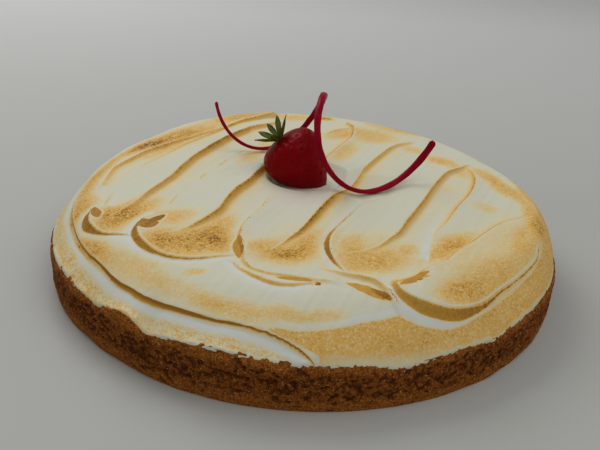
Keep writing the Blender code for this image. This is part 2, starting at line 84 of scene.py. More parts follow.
class Wire:
    """One output of a material's nodes; arithmetic on it adds Math nodes."""

    def __init__(self, socket):
        self.socket = socket

    def node(self, kind, settings=None, values=None, out=0):
        """Add a node: its settings first, then its inputs, each a number, a colour or a
        wire; returns the wire of one output."""
        tree = self.socket.id_data
        made = tree.nodes.new(kind)
        for name, value in (settings or {}).items():
            if name == "stops":
                fill_ramp(made.color_ramp, value)
            else:
                setattr(made, name, value)
        for name, value in (values or {}).items():
            if isinstance(value, Wire):
                tree.links.new(value.socket, made.inputs[name])
            else:
                made.inputs[name].default_value = value
        return Wire(made.outputs[out])

    def math(self, operation, other):
        return self.node("ShaderNodeMath", {"operation": operation}, {0: self, 1: other})

    def __add__(self, other):
        return self.math("ADD", other)

    def __mul__(self, other):
        return self.math("MULTIPLY", other)

    def __sub__(self, other):
        return self.math("SUBTRACT", other)

    def __rsub__(self, other):
        return self * -1 + other

    __radd__ = __add__
    __rmul__ = __mul__

    def mask(self, name):
        """The piece's own mask of that name, kept on its points."""
        return self.node("ShaderNodeAttribute", {"attribute_name": name}, out="Fac")

    def axis(self, name):
        """One of the three numbers of a place: X, Y or Z."""
        return self.node("ShaderNodeSeparateXYZ", None, {"Vector": self}, out=name)

    def most(self, *others):
        """The largest of this value and others."""
        largest = self
        for other in others:
            largest = largest.math("MAXIMUM", other)
        return largest

    def limited(self):
        """The same value held between 0 and 1."""
        return self.node("ShaderNodeClamp", None, {0: self})

    def ramp(self, low, high):
        """0 below low and 1 above high, straight in between."""
        return self.node("ShaderNodeMapRange", None, {0: self, 1: low, 2: high})

    def grain(self, size, detail=2, rough=0.5):
        """Noise whose lumps are about one size across, in metres; self is a place."""
        return self.node("ShaderNodeTexNoise", None,
                         {"Vector": self, "Scale": 1 / size, "Detail": detail,
                          "Roughness": rough})

    def tint(self, under, over):
        """Mix two colours, each a wire or three numbers, with self as the share."""
        under, over = [c if isinstance(c, Wire) else (*c, 1) for c in (under, over)]
        return self.node("ShaderNodeMix", {"data_type": "RGBA"}, {0: self, 6: under, 7: over},
                         out=2)


def fill_ramp(ramp, stops):
    """Give a colour ramp its stops: position and colour."""
    while len(ramp.elements) < len(stops):
        ramp.elements.new(0.5)
    for element, (position, colour) in zip(ramp.elements, stops):
        element.position = position
        element.color = (*colour, 1)


def new_finish(name, **constants):
    """A new material with constants on its shader's sockets; returns it and the wire of
    Object coordinates."""
    material = bpy.data.materials.new(name)
    material.use_nodes = True
    shader = material.node_tree.nodes["Principled BSDF"]
    for socket, value in constants.items():
        shader.inputs[socket.replace("_", " ")].default_value = value
    return material, Wire(shader.outputs[0]).node("ShaderNodeTexCoord", out="Object")


def connect(material, **wires):
    """Join wires to the sockets of the material's shader; returns the material."""
    tree = material.node_tree
    sockets = tree.nodes["Principled BSDF"].inputs
    for socket, wire in wires.items():
        tree.links.new(wire.socket, sockets[socket.replace("_", " ")])
    return material


def bumps(height, strength, distance):
    """A Bump node on a height wire, in metres."""
    return height.node("ShaderNodeBump", None,
                       {"Strength": strength, "Distance": distance, "Height": height})


def ease(offset, width=1):
    """Ease from 0 to 1 as the offset goes from 0 to the width."""
    t = np.clip(offset / width, 0, 1)
    return t * t * (3 - 2 * t)


def bell(offset, width):
    """A bell curve: 1 where the offset is 0, 1/e where it is the width."""
    return np.exp(-(offset / width) ** 2)


def around(count):
    """Angles evenly spread round a full turn."""
    return np.linspace(0, 2 * math.pi, count, endpoint=False)


def lumps(points, size, seed):
    """Smooth noise from 0 to 1 at each point: random values on a lattice of the given
    size, eased between the eight corners round the point."""
    table = np.random.default_rng(seed).random(4096)
    place = points / size
    cell = np.floor(place).astype(np.int64)
    part = place - cell
    part = part * part * (3 - 2 * part)
    total = np.zeros(len(points))
    for corner in np.ndindex(2, 2, 2):
        key = ((cell + corner) * (73856093, 19349663, 83492791)).astype(np.int64)
        value = table[(key[:, 0] ^ key[:, 1] ^ key[:, 2]) & 4095]
        share = np.where(corner, part, 1 - part).prod(axis=1)
        total += share * value
    return total


def linked(name, data):
    """A new object with its data, in the scene."""
    made = bpy.data.objects.new(name, data)
    bpy.context.scene.collection.objects.link(made)
    return made


def new_mesh(name, points, faces, material):
    """A mesh of one material."""
    mesh = bpy.data.meshes.new(name)
    mesh.from_pydata(points, [], faces)
    mesh.materials.append(material)
    return mesh


def new_piece(name, points, faces, material, masks=None):
    """Make a smooth piece from arrays of points and faces, with its masks as point
    attributes, and let it ride on the pie."""
    mesh = new_mesh(name, points, faces, material)
    for mask, values in (masks or {}).items():
        layer = mesh.attributes.new(mask, "FLOAT", "POINT")
        layer.data.foreach_set("value", np.asarray(values, np.float32))
    mesh.shade_smooth()
    piece = linked(name, mesh)
    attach(piece, "root")
    return piece


def band(low, high):
    """Four-sided faces between two rings of equally many points."""
    return np.stack([low, np.roll(low, -1), np.roll(high, -1), high], axis=1).tolist()


def ring_quads(rows, count, closed=False):
    """Faces between rings of equal count, in order from the foot up; closed adds one flat
    face at each end."""
    ring = np.arange(count)
    faces = []
    for row in range(rows - 1):
        faces += band(ring + row * count, ring + (row + 1) * count)
    if closed:
        faces += [ring[::-1].tolist(), (ring + (rows - 1) * count).tolist()]
    return faces


def turned_by(angle, degrees):
    """Angle measured from a direction, in degrees, between -180 and 180."""
    return np.degrees(np.angle(np.exp(1j * (angle - math.radians(degrees)))))


def dent_at(angle):
    """Share of the front left dent in a direction, a bell curve."""
    return bell(turned_by(angle, DENT_DIRECTION), DENT_WIDTH)


def rim_height(angle):
    """Height of the crust's rim in a direction: the ring's height plus bell curves."""
    height = np.full_like(angle, CRUST_HEIGHT)
    for direction, width, rise in RIM_BUMPS:
        height += rise * MM * bell(turned_by(angle, direction), width)
    return height


def crust_surface():
    """Points of the crust, ring by ring: up the side, over the rounded rim and in under
    the meringue. The side is the ring's radius less a gentle wave (sines), the dent and
    pits, plus crumbs (noise). Wave and dent fade out at the front, the back and the sides,
    where the pie is at its full width."""
    level = np.concatenate([np.linspace(0, 1, CRUST_ROWS), np.ones(len(RIM_STEPS))])
    draw = np.concatenate([np.zeros(CRUST_ROWS), RIM_STEPS])
    angle, level = np.meshgrid(around(CRUST_SIDES), level)
    draw = np.repeat(draw[:, None], CRUST_SIDES, axis=1)
    quiet = np.sin(2 * angle) ** 2
    wave = np.sin(23 * angle + 5 * level) + np.sin(37 * angle - 9 * level + 1.3)
    dent = CRUST_DENT * dent_at(angle)
    foot = FOOT_ROUND * bell(level, 0.12) + TOP_ROUND * ease(level - 0.85, 0.15)
    radius = PIE_RADIUS - foot - quiet * (CRUST_WAVE * (1 + 0.5 * wave) + dent)
    height = level * (rim_height(angle) - 0.0004) + np.minimum(draw, 0.0012) * 0.3
    height -= np.maximum(draw - 0.0016, 0) * 0.5
    place = np.stack([radius * np.cos(angle), radius * np.sin(angle), height], axis=2)
    flat = place.reshape(-1, 3)
    coarse = lumps(flat * (1, 1, 1.6), COARSE_LUMP, 1).reshape(angle.shape)
    middle = lumps(flat * (1, 1, 1.3), MIDDLE_LUMP, 2).reshape(angle.shape)
    fine = lumps(flat, FINE_LUMP, 3).reshape(angle.shape)
    waist = bell(level - 0.52, 0.26)
    open_crumb = ease(0.4 * coarse + 0.6 * middle + 0.15 * waist - 0.58, 0.2)
    pits = open_crumb * (0.35 + 0.65 * fine)
    edge = 1 - 0.7 * ease(0.06 - level, 0.06)
    top = ease(level - 0.86, 0.14)
    relief = (CRUMB_HEIGHT * (middle + fine - 1) - PIT_DEPTH * pits) * edge
    relief -= RAGGED_TOP * top * coarse
    radius = np.minimum(radius + relief, PIE_RADIUS) - draw
    height = height + (RAGGED_TOP * (coarse - 0.5) + 0.0006 * (fine - 0.5)) * top
    height[0] = 0
    points = np.stack([radius * np.cos(angle), radius * np.sin(angle), height], axis=2)
    return points.reshape(-1, 3), pits.ravel()


def crust_finish():
    """Baked dough, dry: brown in clouds, with painted light making it lighter along the rim's top
    and the foot, paler on the crumbs, with painted shade nearly black in the pits and small
    hollows, and a few painted glints."""
    material, place = new_finish("baked crust", Roughness=0.85, Specular_IOR_Level=0.08)
    pits = place.mask("pits")
    large = place.grain(0.012, 3)
    level = place.axis("Z")
    # painted light: a share by height that lightens the top of the rim and the foot, as if lit
    lit_rim_and_foot = level.ramp(0.0155, 0.0195) * 0.75 + level.ramp(0.0075, 0.002)
    crumb = place.grain(0.0011, 3, 0.6)
    speck = place.grain(0.00055, 2, 0.6)
    shade = large.ramp(0.35, 0.7).tint(CRUST_COLOUR, BAKED_COLOUR)
    shade = lit_rim_and_foot.tint(shade, LIT_EDGE_COLOUR)
    shade = (crumb.ramp(0.48, 0.62) * 0.6).tint(shade, CRUMB_COLOUR)
    # painted shade: dark specks of fine pits, small hollows and the pits take the near-black shade colour
    shade = (speck.ramp(0.5, 0.6) * 0.62).tint(shade, PIT_SHADE_COLOUR)
    hollow_shade = place.grain(0.0017, 2).ramp(0.5, 0.6) * (1 - lit_rim_and_foot * 0.6)
    shade = (hollow_shade * 0.62).tint(shade, PIT_SHADE_COLOUR)
    shade = (pits.ramp(0.1, 0.8) * 0.8).tint(shade, PIT_SHADE_COLOUR)
    # painted highlight: small glints, kept off the pits
    glint = place.grain(0.0007, 1).ramp(0.64, 0.7) * (1 - pits)
    shade = (glint * 0.8).tint(shade, GLINT_COLOUR)
    relief = crumb * 0.7 + speck * 0.6
    return connect(material, Base_Color=shade, Normal=bumps(relief, 1, 0.0008))


points, pits = crust_surface()
faces = ring_quads(CRUST_ROWS + len(RIM_STEPS), CRUST_SIDES, closed=True)
crust = new_piece("crust_crumb", points, faces, crust_finish(), {"pits": pits})
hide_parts("crust")

# ---- Meringue ----------------------------------------------------
# Two coats of soft foam spread with a long spatula: a thin base coat that shows as a pale
# ring on the left, then a thick coat drawn towards the front in overlapping strokes. A
# torch has browned the crests and the walls where the strokes end; the brown of the walls,
# of the hollows at their feet and of the second coat's edge is partly painted shade.
MERINGUE_RADIUS = 0.1186
MERINGUE_CELLS = 306
CELL = 2 * MERINGUE_RADIUS / MERINGUE_CELLS
# height above the crust at the edge, in front and behind; how far the cap goes below the
# rim; and how deep the dent at the front left is
MERINGUE_EDGE = 0.0004
MERINGUE_FRONT = 0.014
MERINGUE_BACK = 0.021
MERINGUE_SUNK = 0.003
MERINGUE_DENT = 0.0014
# shoulder of the dome, by direction (degrees): its width (mm) and how square it is, from
# 1 for a slope like a sine to 0 for a step
SHOULDER = [
    (-180, 24, 0.75), (-135, 27.5, 0.86), (-90, 29, 0.86), (-50, 26, 0.86), (-20, 13, 0.75), (0, 12, 0.6),
    (30, 17, 0.6), (65, 14, 0.6), (95, 9, 0.6), (125, 11, 0.6), (150, 20, 0.6), (180, 24, 0.75),
]
SECOND_COAT = 0.0013
# the hollows under the berry and the bends of the curl, and the air left over them
GAP = 0.00035
BERRY_FOOT = 0.0347
BERRY_HOLLOW = (-0.0005, 0.0135)
BERRY_HOLLOW_RADIUS = 0.0165
BERRY_HOLLOW_SLOPE = 0.9
CURL_HOLLOW_RADIUS = 0.0075
CURL_HOLLOW_SLOPE = 0.28
# the curl's helix: its first bottom's axis point, direction, pitch, radius and slopes
CURL_CENTRE = (-0.025, 0.0421, 0.056)
CURL_AXIS = math.radians(-36)
CURL_PITCH = 0.0699
CURL_RADIUS = 0.0152
CURL_WIDENING = 0.0083
CURL_CLIMB = 0.061
CURL_LEAN = 0.0022
CURL_START = math.radians(-132)
# half width and half thickness at its left end, and what each gains towards the right
CURL_SLIM = (0.0009, 0.0008)
CURL_GAIN = (0.0009, 0.0003)
# Marks of the spatula, each the crest of a ridge seen from above, steep on the right of its
# way and gentle on the left: points (mm); heights (mm), widths of the steep side (mm) and
# its browning (percent; on a wall that ends clean partly painted shade); width of the gentle
# side (mm); how far the brown runs on past the steep side (mm; 0 for a wall that ends clean);
# whiteness past its foot (0 to 1), under a painted bluish sheen. Where a mark has several of
# a kind, they are spaced evenly along it.
STROKES = [
    # rounded ends of the strokes, from left to right
    ([(-88, -37), (-91.5, -39), (-92.5, -43), (-91.5, -48), (-88.5, -52), (-84.5, -55.5), (-79.5, -57.5),
     (-74, -58.5)], (2, 3.4, 3.2, 2.4, 1.2, 0.8, 0.6), (2.4, 4, 3.6, 2.4, 1.3, 1, 0.9),
     (82, 88, 86, 84, 84, 86, 70), 13, 0, 0.8),
    ([(-65, -40), (-67.5, -46), (-68.5, -51.5), (-68.5, -57), (-66.5, -62.5), (-63, -67.5), (-58, -72),
     (-52, -75), (-45, -75.5), (-38, -74), (-33, -72), (-29, -71)],
     (1.2, 3.2, 3.2, 2.6, 1.6, 1.2, 0.9, 0.6), (2, 3.2, 3, 2.4, 1.3, 1.1, 0.9, 0.8),
     (80, 92, 86, 84, 84, 86, 84, 60), 14, 0, 1),
    ([(-14, -8.5), (-17, -17), (-19, -26), (-21.5, -33.5), (-24.5, -42), (-26, -50), (-26, -57),
     (-24, -64), (-23, -70), (-22.5, -75), (-19.5, -80), (-14, -83), (-8, -84), (-1, -84.5), (5, -85.5),
     (11, -86)], (0.5, 1.3, 2.2, 2.6, 2, 1.4, 1.2, 0.8), 2, (40, 66, 84, 92, 74, 84, 82, 50), 14, 0.9,
     0.3),
    ([(-27, -75.5), (-24, -79.5), (-20.5, -82.5), (-15, -86.5), (-10, -89), (-4, -89.5), (1.5, -88),
     (5, -87)], (0.4, 0.9, 1.2, 1.2, 1, 0.5), (0.9, 1.3, 1.7, 1.7, 1.3, 0.8), (35, 56, 66, 66, 60, 40), 6,
     0, 1),
    ([(36, -3.5), (29.5, -12.5), (24, -23), (20, -32), (17, -40), (13.5, -47.5), (11.5, -54), (11, -60),
     (11.5, -66), (13.5, -72), (16.5, -78)], (0.5, 1.2, 1.6, 2.2, 3, 2.8, 1.8, 0.8),
     (1, 1.1, 1.3, 2.2, 3, 2.8, 1.9, 1), (35, 45, 55, 74, 84, 86, 90, 80), 13, 0, 0.7),
    ([(8, -77), (13, -79), (18, -80.5), (24, -82.5), (28.5, -85), (32, -89.5), (35, -95)],
     (0.6, 1.4, 1.9, 1.9, 1.4), 2, (40, 60, 70, 68, 10), 4, 1.4, 0),
    ([(35.5, -87), (37.5, -91), (42, -94), (48, -95), (54, -94.5), (60, -92.5), (66, -88.5), (72, -83),
     (77.5, -77), (83.5, -71), (89, -65), (94, -58.5), (98.5, -51.5), (100.5, -45.5)],
     (3, 4.5, 3.8, 2, 1.3, 1, 0.8, 0.5), (2.2, 3, 2.6, 1.5, 1, 0.9, 0.9, 0.8),
     (72, 78, 84, 88, 95, 97, 97, 97), 20, 0, (0.9, 0.9, 0.7, 0.4, 0.1, 0, 0)),
    # long crests between the strokes, from left to right
    ([(-96.5, -13), (-96.5, -7), (-96.5, 2.5), (-95.5, 8.5), (-90.5, 19), (-85, 30.5), (-77.5, 40.5),
     (-68.5, 50.5), (-58, 63), (-48, 76.5), (-38, 91.5)], (0.8, 1.6, 2, 2, 1.4), 2.6, (50, 66, 72, 66, 60),
     8, 3.4, 0),
    ([(-84, 11), (-76, 27.5), (-69, 41), (-61, 53.5), (-52.5, 67.5), (-43.5, 82.5), (-33.5, 93),
     (-24, 102)], (0.4, 1, 1.6, 2.2, 3), 2.2, (35, 60, 74, 80, 66), 8, 2, 0),
    ([(-90, -37), (-89.5, -33.5), (-89.5, -27), (-89.5, -20.5)], (0.8, 1, 0.6), 1.8, (50, 55, 35), 5, 0.9,
     0),
    ([(-83, -44.5), (-80.5, -39), (-78.5, -34.5), (-75.5, -27.5), (-73.5, -21.5), (-71, -14.5),
     (-68.5, -8), (-66, 0), (-63.5, 9.5), (-61, 19), (-57.5, 30), (-53, 41.5), (-45, 59), (-36, 74),
     (-30, 80.5), (-20, 89.5)], (0.6, 1.8, 2.4, 3, 3, 2.4, 1.2), 2.6, (50, 70, 78, 84, 88, 86, 60), 13,
     2.7, 0),
    ([(-57, -57.5), (-55, -56), (-50, -52), (-45, -45), (-42, -40), (-38.5, -33), (-36.5, -23.5),
     (-33, -11), (-28, 0.5), (-25.5, 10.5), (-21.5, 22), (-18, 32)], (0.4, 1.6, 2.4, 2.8, 2.8, 2.6, 1.6),
     2.6, (40, 78, 84, 84, 86, 88, 80), 14, 2.9, 0),
    ([(-12, -65), (-10, -62), (-6.5, -56), (-1.5, -47.5), (3, -36), (8, -23), (11.5, -15), (15, -6.5),
     (22.5, 8.5), (29, 25), (35.5, 39), (42.5, 52.5), (49, 62.5), (57, 69)],
     (0.5, 1.8, 2.6, 2.4, 2, 1.8, 1.8, 1.6, 0.8), 2.4, (60, 86, 92, 86, 80, 74, 70, 66, 50), 13, 2.8, 0),
    ([(16, -65.5), (23, -63), (31, -57.5), (36, -51), (40.5, -44.5), (44, -36.5), (47.5, -28.5),
     (55, -11.5), (60.5, 2), (64.5, 11), (71.5, 25), (78.5, 32.5), (84, 37.5)],
     (0.3, 1.4, 2.4, 2.4, 2.4, 2.2, 1.4), 2.4, (40, 70, 84, 84, 84, 78, 70), 14, 1.9, 0),
    ([(83, 38), (85, 32), (86, 23), (84, 11.5), (78.5, -2.5), (71.5, -15), (64.5, -30), (58.5, -41),
     (55, -52.5), (53, -63)], (1, 2.2, 2.2, 1.8, 1.4, 0.5), 2.2, (45, 84, 84, 76, 40, 12), 9, 2,
     (0, 0.2, 0.7, 1, 1)),
    ([(104, -19), (100.5, -20.5), (96, -23), (92, -26), (85, -33), (77.5, -42.5), (71, -51), (63, -60.5),
     (56.5, -69), (49.5, -75), (44.5, -81), (39, -86), (35.5, -88.5)], (0.6, 1.2, 1.8, 2.2, 2.4, 2.8, 2.4),
     2.6, (55, 70, 78, 78, 78, 88, 80), 15, 2.2, 0),
    ([(23, 96), (26, 86), (24.5, 70.5), (19, 57.5), (12.5, 43), (9.5, 36)], (1.2, 2.2, 1.9, 1), 2.4,
     (70, 86, 86, 66), 8, 2.2, 0),
    ([(7.5, 74.5), (13, 80.5), (18, 84.5), (24.5, 88.5)], (0.3, 0.8, 0.6), 1.8, (50, 62, 50), 5, 0.9, 0),
]
# Dark hollows at the foot of the strokes, browned and partly painted shade, each a lens
# between two arcs: middle, half length, half width (mm), direction (degrees), browning with
# painted shade (percent)
LENSES = [
    (-26, -64.5, 9.4, 2.7, 98, 80), (-2.4, -86.2, 9, 1.6, -3, 78), (25.5, -90, 10.5, 2.8, -26, 76),
    (30.2, -91.4, 5.6, 1.6, -38, 90), (6.5, -88, 1.7, 1.3, 20, 93), (43, -83.4, 9.5, 2.1, 42, 78),
    (-63.3, -46.5, 8.5, 2, 70, 92), (-66, -52.5, 6, 4, 32, 86), (-90, -43, 4.8, 2.5, 118, 84),
    (46.6, -82.8, 6, 0.6, 42, 93), (-24.2, -66.5, 8, 0.7, 98, 93),
]
# thin dark wrinkles: two ends (mm)
WRINKLES = [
    (-45, 19, -42, 27), (-37.6, 37, -34, 43), (-66.8, -42.5, -64.5, -38.5), (-61.2, -29, -59.1, -20),
    (-52.2, 1, -50.1, 7),
]
# Browned patches: middle, half sizes (mm), direction of the first (degrees), browning
# (percent)
PATCHES = [
    (-80, -47, 15, 10, 55, 70), (-73, -33, 14, 8, 62, 56), (-84, -40, 8, 5, 60, 36),
    (-58, -42, 13, 8, 35, 56), (-46, -63, 20, 14, 34, 74), (-60, -63, 9, 7, 100, 52),
    (-36, -46, 15, 7, 72, 56), (-32, -62, 9, 6, 80, 50), (-88, -61, 17, 5.5, -50, 66),
    (-101, -31, 12, 6, 75, 62), (-100, -44, 12, 4.5, 105, 55), (-103, -12, 18, 5, 84, 60),
    (-101, 8, 15, 5, 74, 55), (-94, 28, 16, 5, 60, 50), (-68, -78, 22, 7, -38, 40),
    (-20, -103, 10, 5, -20, 48), (-44, -93, 18, 5, -26, 34), (-5, -104.5, 9, 4.5, -15, 48),
    (9, -104, 9, 4, 12, 44), (-32, -100, 9, 4, -24, 36), (-40, -84, 5, 2.5, 8, 48),
    (-17, -63, 9, 5, 30, 50), (-10, -70, 12, 7, 10, 36), (3, -58, 18, 8, 62, 50), (-7, -67, 9, 5, 20, 44),
    (27, -70, 18, 10, 16, 54), (20, -58, 9, 5, 70, 36), (44, -57, 5, 4, 50, 36), (76, -74, 28, 9, 47, 46),
    (60, -86, 13, 6, 25, 50), (66, -68, 22, 14, 45, 24), (97, -42, 20, 7, 66, 44),
    (90, -38, 20, 12, 55, 26), (64, -48, 15, 6, 40, 50), (59, -57, 14, 5, 42, 46),
    (80, 29, 10, 5.5, -70, 46), (71, 43, 10, 7, -42, 58), (58, 58, 8, 6, -46, 44),
    (100, 7, 15, 7, -58, 60), (93, 25, 13, 6, -60, 55), (105, -18, 16, 5, -94, 60),
    (108, -30, 18, 4, -97, 50), (84, -13, 7, 6, -20, 36), (36, 75, 17, 14, -18, 54),
    (19, 47, 16, 7, 64, 50), (16, 76, 13, 8, 49, 52), (9, 104, 5, 3.5, -6, 72), (-75, 56, 33, 9, 57, 70),
    (-85, 40, 14, 6, 58, 60), (-43, 94, 20, 8, 30, 66), (-60, 64, 29, 5.5, 56, 50),
    (-78, 32, 20, 5, 57, 46), (-30, 33, 14, 6, 68, 42), (-95, -61, 7, 4, 85, 50),
    (-90, -73, 6, 3.5, -50, 46), (-109, -40, 9, 3.5, 93, 40), (48, 93, 26, 7, -28, 48),
    (-10, 102, 26, 7, 4, 48), (-20, 60, 20, 8, 64, 36), (68, 8, 8, 6, 60, 26), (-2, -60, 22, 15, 50, 28),
    (30, -60, 20, 15, 40, 32), (75, -62, 34, 18, 46, 13), (-95, -35, 9, 5, 80, 40),
    (-48, 104, 26, 5, 25, 52), (4, 112.5, 26, 4, -2, 48), (54, 100, 24, 5, -29, 52),
    (90, 71, 20, 4.5, -52, 46), (-90, 72, 20, 4, 50, 40), (97, 47, 22, 2.8, -63, 56),
    (80, 71, 20, 2.6, -48, 50), (58, 90, 20, 2.6, -33, 46), (108, 14, 20, 2.8, -82, 56),
]
# edge of the second coat at the front left, high on its left side: points, and at even
# steps the width of its wall, both in mm
COAT_EDGE = [
    (-105, 34), (-108, 16), (-109, 2), (-107, -22), (-103, -36.5), (-95.5, -52.5), (-88, -64), (-80, -73),
    (-71, -83), (-64.5, -88.5), (-58.5, -93), (-52, -96), (-45, -99.5), (-38, -102.5), (-30.5, -105.3),
    (-23, -107.1), (-17, -108.7), (-11, -110.3), (-5, -112.3), (1, -114.9), (6, -118),
]
COAT_WALL = (0.6, 0.6, 0.5, 0.5, 0.6, 0.8, 1.6, 1, 0.6, 0.5)
# the golden skirt lies on the right of its upper edge and on the left of its lower one (mm)
SKIRT_UPPER = [
    (-16, -109.6), (-12, -108.9), (-8, -108.3), (-3.5, -108.9), (1, -109.1), (8.5, -108), (15, -106.6),
    (19.5, -105), (27.5, -102.2), (32, -100.2), (36, -98.7), (38.5, -99.6), (41.5, -100.4), (44.5, -100.8),
    (48, -100.6), (52.5, -99.6), (56.5, -98), (60, -96), (64.5, -92.4), (70, -87.2), (76, -81.4),
    (82.5, -74.8), (88, -68.4), (93.5, -61.2), (97.5, -54.5), (100.5, -48.5), (103, -42), (105.5, -34),
    (107.5, -26), (109, -14),
]
SKIRT_LOWER = [(-16, -107.5), (-10.5, -110.2), (-5, -112.4), (1, -114.6), (7, -116.6), (12, -118.2)]
# colour of the foam by its browning, 0 to 1
TOAST_STOPS = [
    (0, (0.74, 0.735, 0.585)), (0.2, (0.8, 0.72, 0.465)), (0.42, (0.83, 0.61, 0.265)),
    (0.62, (0.82, 0.49, 0.125)), (0.8, (0.6, 0.31, 0.045)), (0.92, (0.35, 0.15, 0.018)),
    (1, (0.16, 0.06, 0.009)),
]
# a faint pink stain from the berry together with the berry's painted red reflection
PINK_STAIN_AND_REFLECTION_COLOUR = (0.79, 0.7, 0.6)
# painted light: a bluish-white sheen that lightens the unbrowned foam at the walls' feet
BLUISH_SHEEN_COLOUR = (0.76, 0.79, 0.78)
# distances to an edge are kept up to this many mm
FAR = 3.0


def at_steps(place, values):
    """Values given at even steps from 0 to 1, joined straight; one value holds all along."""
    values = np.atleast_1d(values)
    return np.interp(place, np.linspace(0, 1, len(values)), values)


def smooth_line(points, spans):
    """A smooth line through the points: Catmull-Rom, with some steps to each span."""
    p = np.asarray(points, dtype=float)
    p = np.concatenate([[2 * p[0] - p[1]], p, [2 * p[-1] - p[-2]]])
    t = np.linspace(0, 1, spans, endpoint=False)[:, None]
    line = []
    for a, b, c, d in zip(p[:-3], p[1:-2], p[2:-1], p[3:]):
        line.append(0.5 * (2 * b + (c - a) * t + (2 * a - 5 * b + 4 * c - d) * t ** 2
                           + (3 * b - a - 3 * c + d) * t ** 3))
    line.append(p[-2][None])
    return np.concatenate(line)


def along_line(xy, points, spans=8):
    """For each place: signed distance to the smooth line through the points (left is
    positive), the share of its length at the nearest spot, how far past an end the place
    lies, and that spot."""
    line = smooth_line(points, spans)
    start = line[:-1]
    step = line[1:] - start
    length = np.linalg.norm(step, axis=1)
    done = np.concatenate([[0], np.cumsum(length)])
    best = np.full((len(xy), 6), np.inf)
    for k in range(len(step)):
        off = xy - start[k]
        raw = off @ step[k] / length[k] ** 2
        share = np.clip(raw, 0, 1)
        near = start[k] + share[:, None] * step[k]
        dist = np.hypot(*(xy - near).T)
        side = np.sign(step[k, 0] * off[:, 1] - step[k, 1] * off[:, 0])
        found = [dist, side * dist, (done[k] + share * length[k]) / done[-1],
                 np.abs(raw - share) * length[k], near]
        hit = dist < best[:, 0] - 1e-9
        best[hit] = np.column_stack(found)[hit]
    return best[:, 1], best[:, 2], best[:, 3], best[:, 4:]


def disc_grid(cells):
    """Square grid laid over the unit disc so that its edge points are evenly spread."""
    u = np.linspace(-1, 1, cells + 1)
    a, b = np.meshgrid(u, u, indexing="ij")
    wide = np.abs(a) >= np.abs(b)
    radius = np.where(wide, a, b)
    safe = np.where(radius == 0, 1, radius)
    turn = np.where(wide, b / safe * math.pi / 4, math.pi / 2 - a / safe * math.pi / 4)
    return np.stack([radius * np.cos(turn), radius * np.sin(turn)], axis=2)


def draw_to_crests(xy):
    """Move the points that lie within half a cell of a crest onto it, in mm."""
    nearest = np.full(len(xy), 0.45 * CELL / MM)
    moved = xy.copy()
    for mark in STROKES:
        dist, _, past, spot = along_line(xy, mark[0])
        hit = (np.abs(dist) < nearest) & (past < 0.3)
        nearest[hit] = np.abs(dist[hit])
        moved[hit] = spot[hit]
    return moved


def read_strokes(xy):
    """What the marks do at each point (mm). A crest falls off steeply on its right and
    gently on its left; heights are joined by a fourth-power sum. Browning is kept in two
    pairs, for walls that end clean, whose brown is partly painted shade, and for crests whose
    brown runs on: the distance inside the brown's sharp edge, and its strength there. Also
    whiteness past a foot, which carries a painted bluish sheen."""
    total = np.zeros(len(xy))
    white = np.zeros(len(xy))
    marks = {"wall": [], "crest": []}
    for points, heights, widths, browns, gentle, run, foot in STROKES:
        dist, place, past, _ = along_line(xy, points)
        dist = np.sign(dist) * np.sqrt(np.maximum(dist ** 2 - past ** 2, 0))
        steep = at_steps(place, widths)
        left = np.exp(-np.abs(dist) / gentle)
        right = 1 - ease(-dist, steep)
        lift = at_steps(place, heights) * np.where(dist > 0, left, right)
        total += (lift * bell(past, 4)) ** 4
        strength = at_steps(place, np.divide(browns, 100)) * bell(past, 1.2)
        if run:
            strength = strength * (0.45 * np.exp(-np.abs(dist) / (2.6 * run))
                                   + 0.55 * bell(dist, run))
            marks["crest"].append((-dist, None, strength))
        else:
            marks["wall"].append((-dist, 1.05 * steep, strength))
        outside = ease(-dist - 0.5 * steep) * (dist < 0)
        outside *= bell(np.maximum(-dist - steep - 0.6, 0), 2.6)
        outside *= at_steps(place, foot) * bell(past, 3)
        white = np.maximum(white, outside)
    # the lenses: dark hollows, browned and partly painted shade
    for px, py, long, wide, direction, strength in LENSES:
        u, v = turned_place(xy, px, py, direction)
        marks["wall"].append((wide * (1 - (u / long) ** 2) - np.abs(v), 3 * FAR + 0 * u,
                              strength / 100 + 0 * u))
    masks = {"white": white, "wall_end": np.full(len(xy), FAR)}
    for name, found in marks.items():
        best = np.zeros(len(xy))
        masks[name] = np.full(len(xy), -FAR)
        masks[name + "_brown"] = np.zeros(len(xy))
        for edge, end, strength in found:
            inside = edge if end is None else np.minimum(edge, end - edge)
            seen = strength * ease(inside + 2.6, 3.6)
            better = seen > best
            best = np.where(better, seen, best)
            masks[name] = np.where(better, np.clip(edge, -FAR, 2 * FAR), masks[name])
            strength = strength * ease(inside + 1.5, 0.9)
            masks[name + "_brown"] = np.where(better, strength, masks[name + "_brown"])
            if end is not None:
                masks["wall_end"] = np.where(better, end, masks["wall_end"])
    return total ** 0.25, masks


def turned_place(xy, px, py, direction):
    """Place of each point along and across a direction, from a middle."""
    c, s = math.cos(math.radians(direction)), math.sin(math.radians(direction))
    x, y = xy[:, 0] - px, xy[:, 1] - py
    return x * c + y * s, y * c - x * s


def curl_path(phase):
    """Middle line of the curl: a helix about a level axis that widens and climbs; phase
    is in radians, 0 at the bottom of its first turn."""
    turns = phase / (2 * math.pi)
    radius = CURL_RADIUS + CURL_WIDENING * turns
    along = CURL_PITCH * turns
    out = radius * np.sin(phase)
    lean = CURL_LEAN * np.maximum(-np.cos(phase), 0) * (phase > 0)
    c, s = math.cos(CURL_AXIS), math.sin(CURL_AXIS)
    return np.stack([CURL_CENTRE[0] + lean + c * along - s * out,
                     CURL_CENTRE[1] + s * along + c * out,
                     CURL_CENTRE[2] + CURL_CLIMB * along - radius * np.cos(phase)], axis=-1)


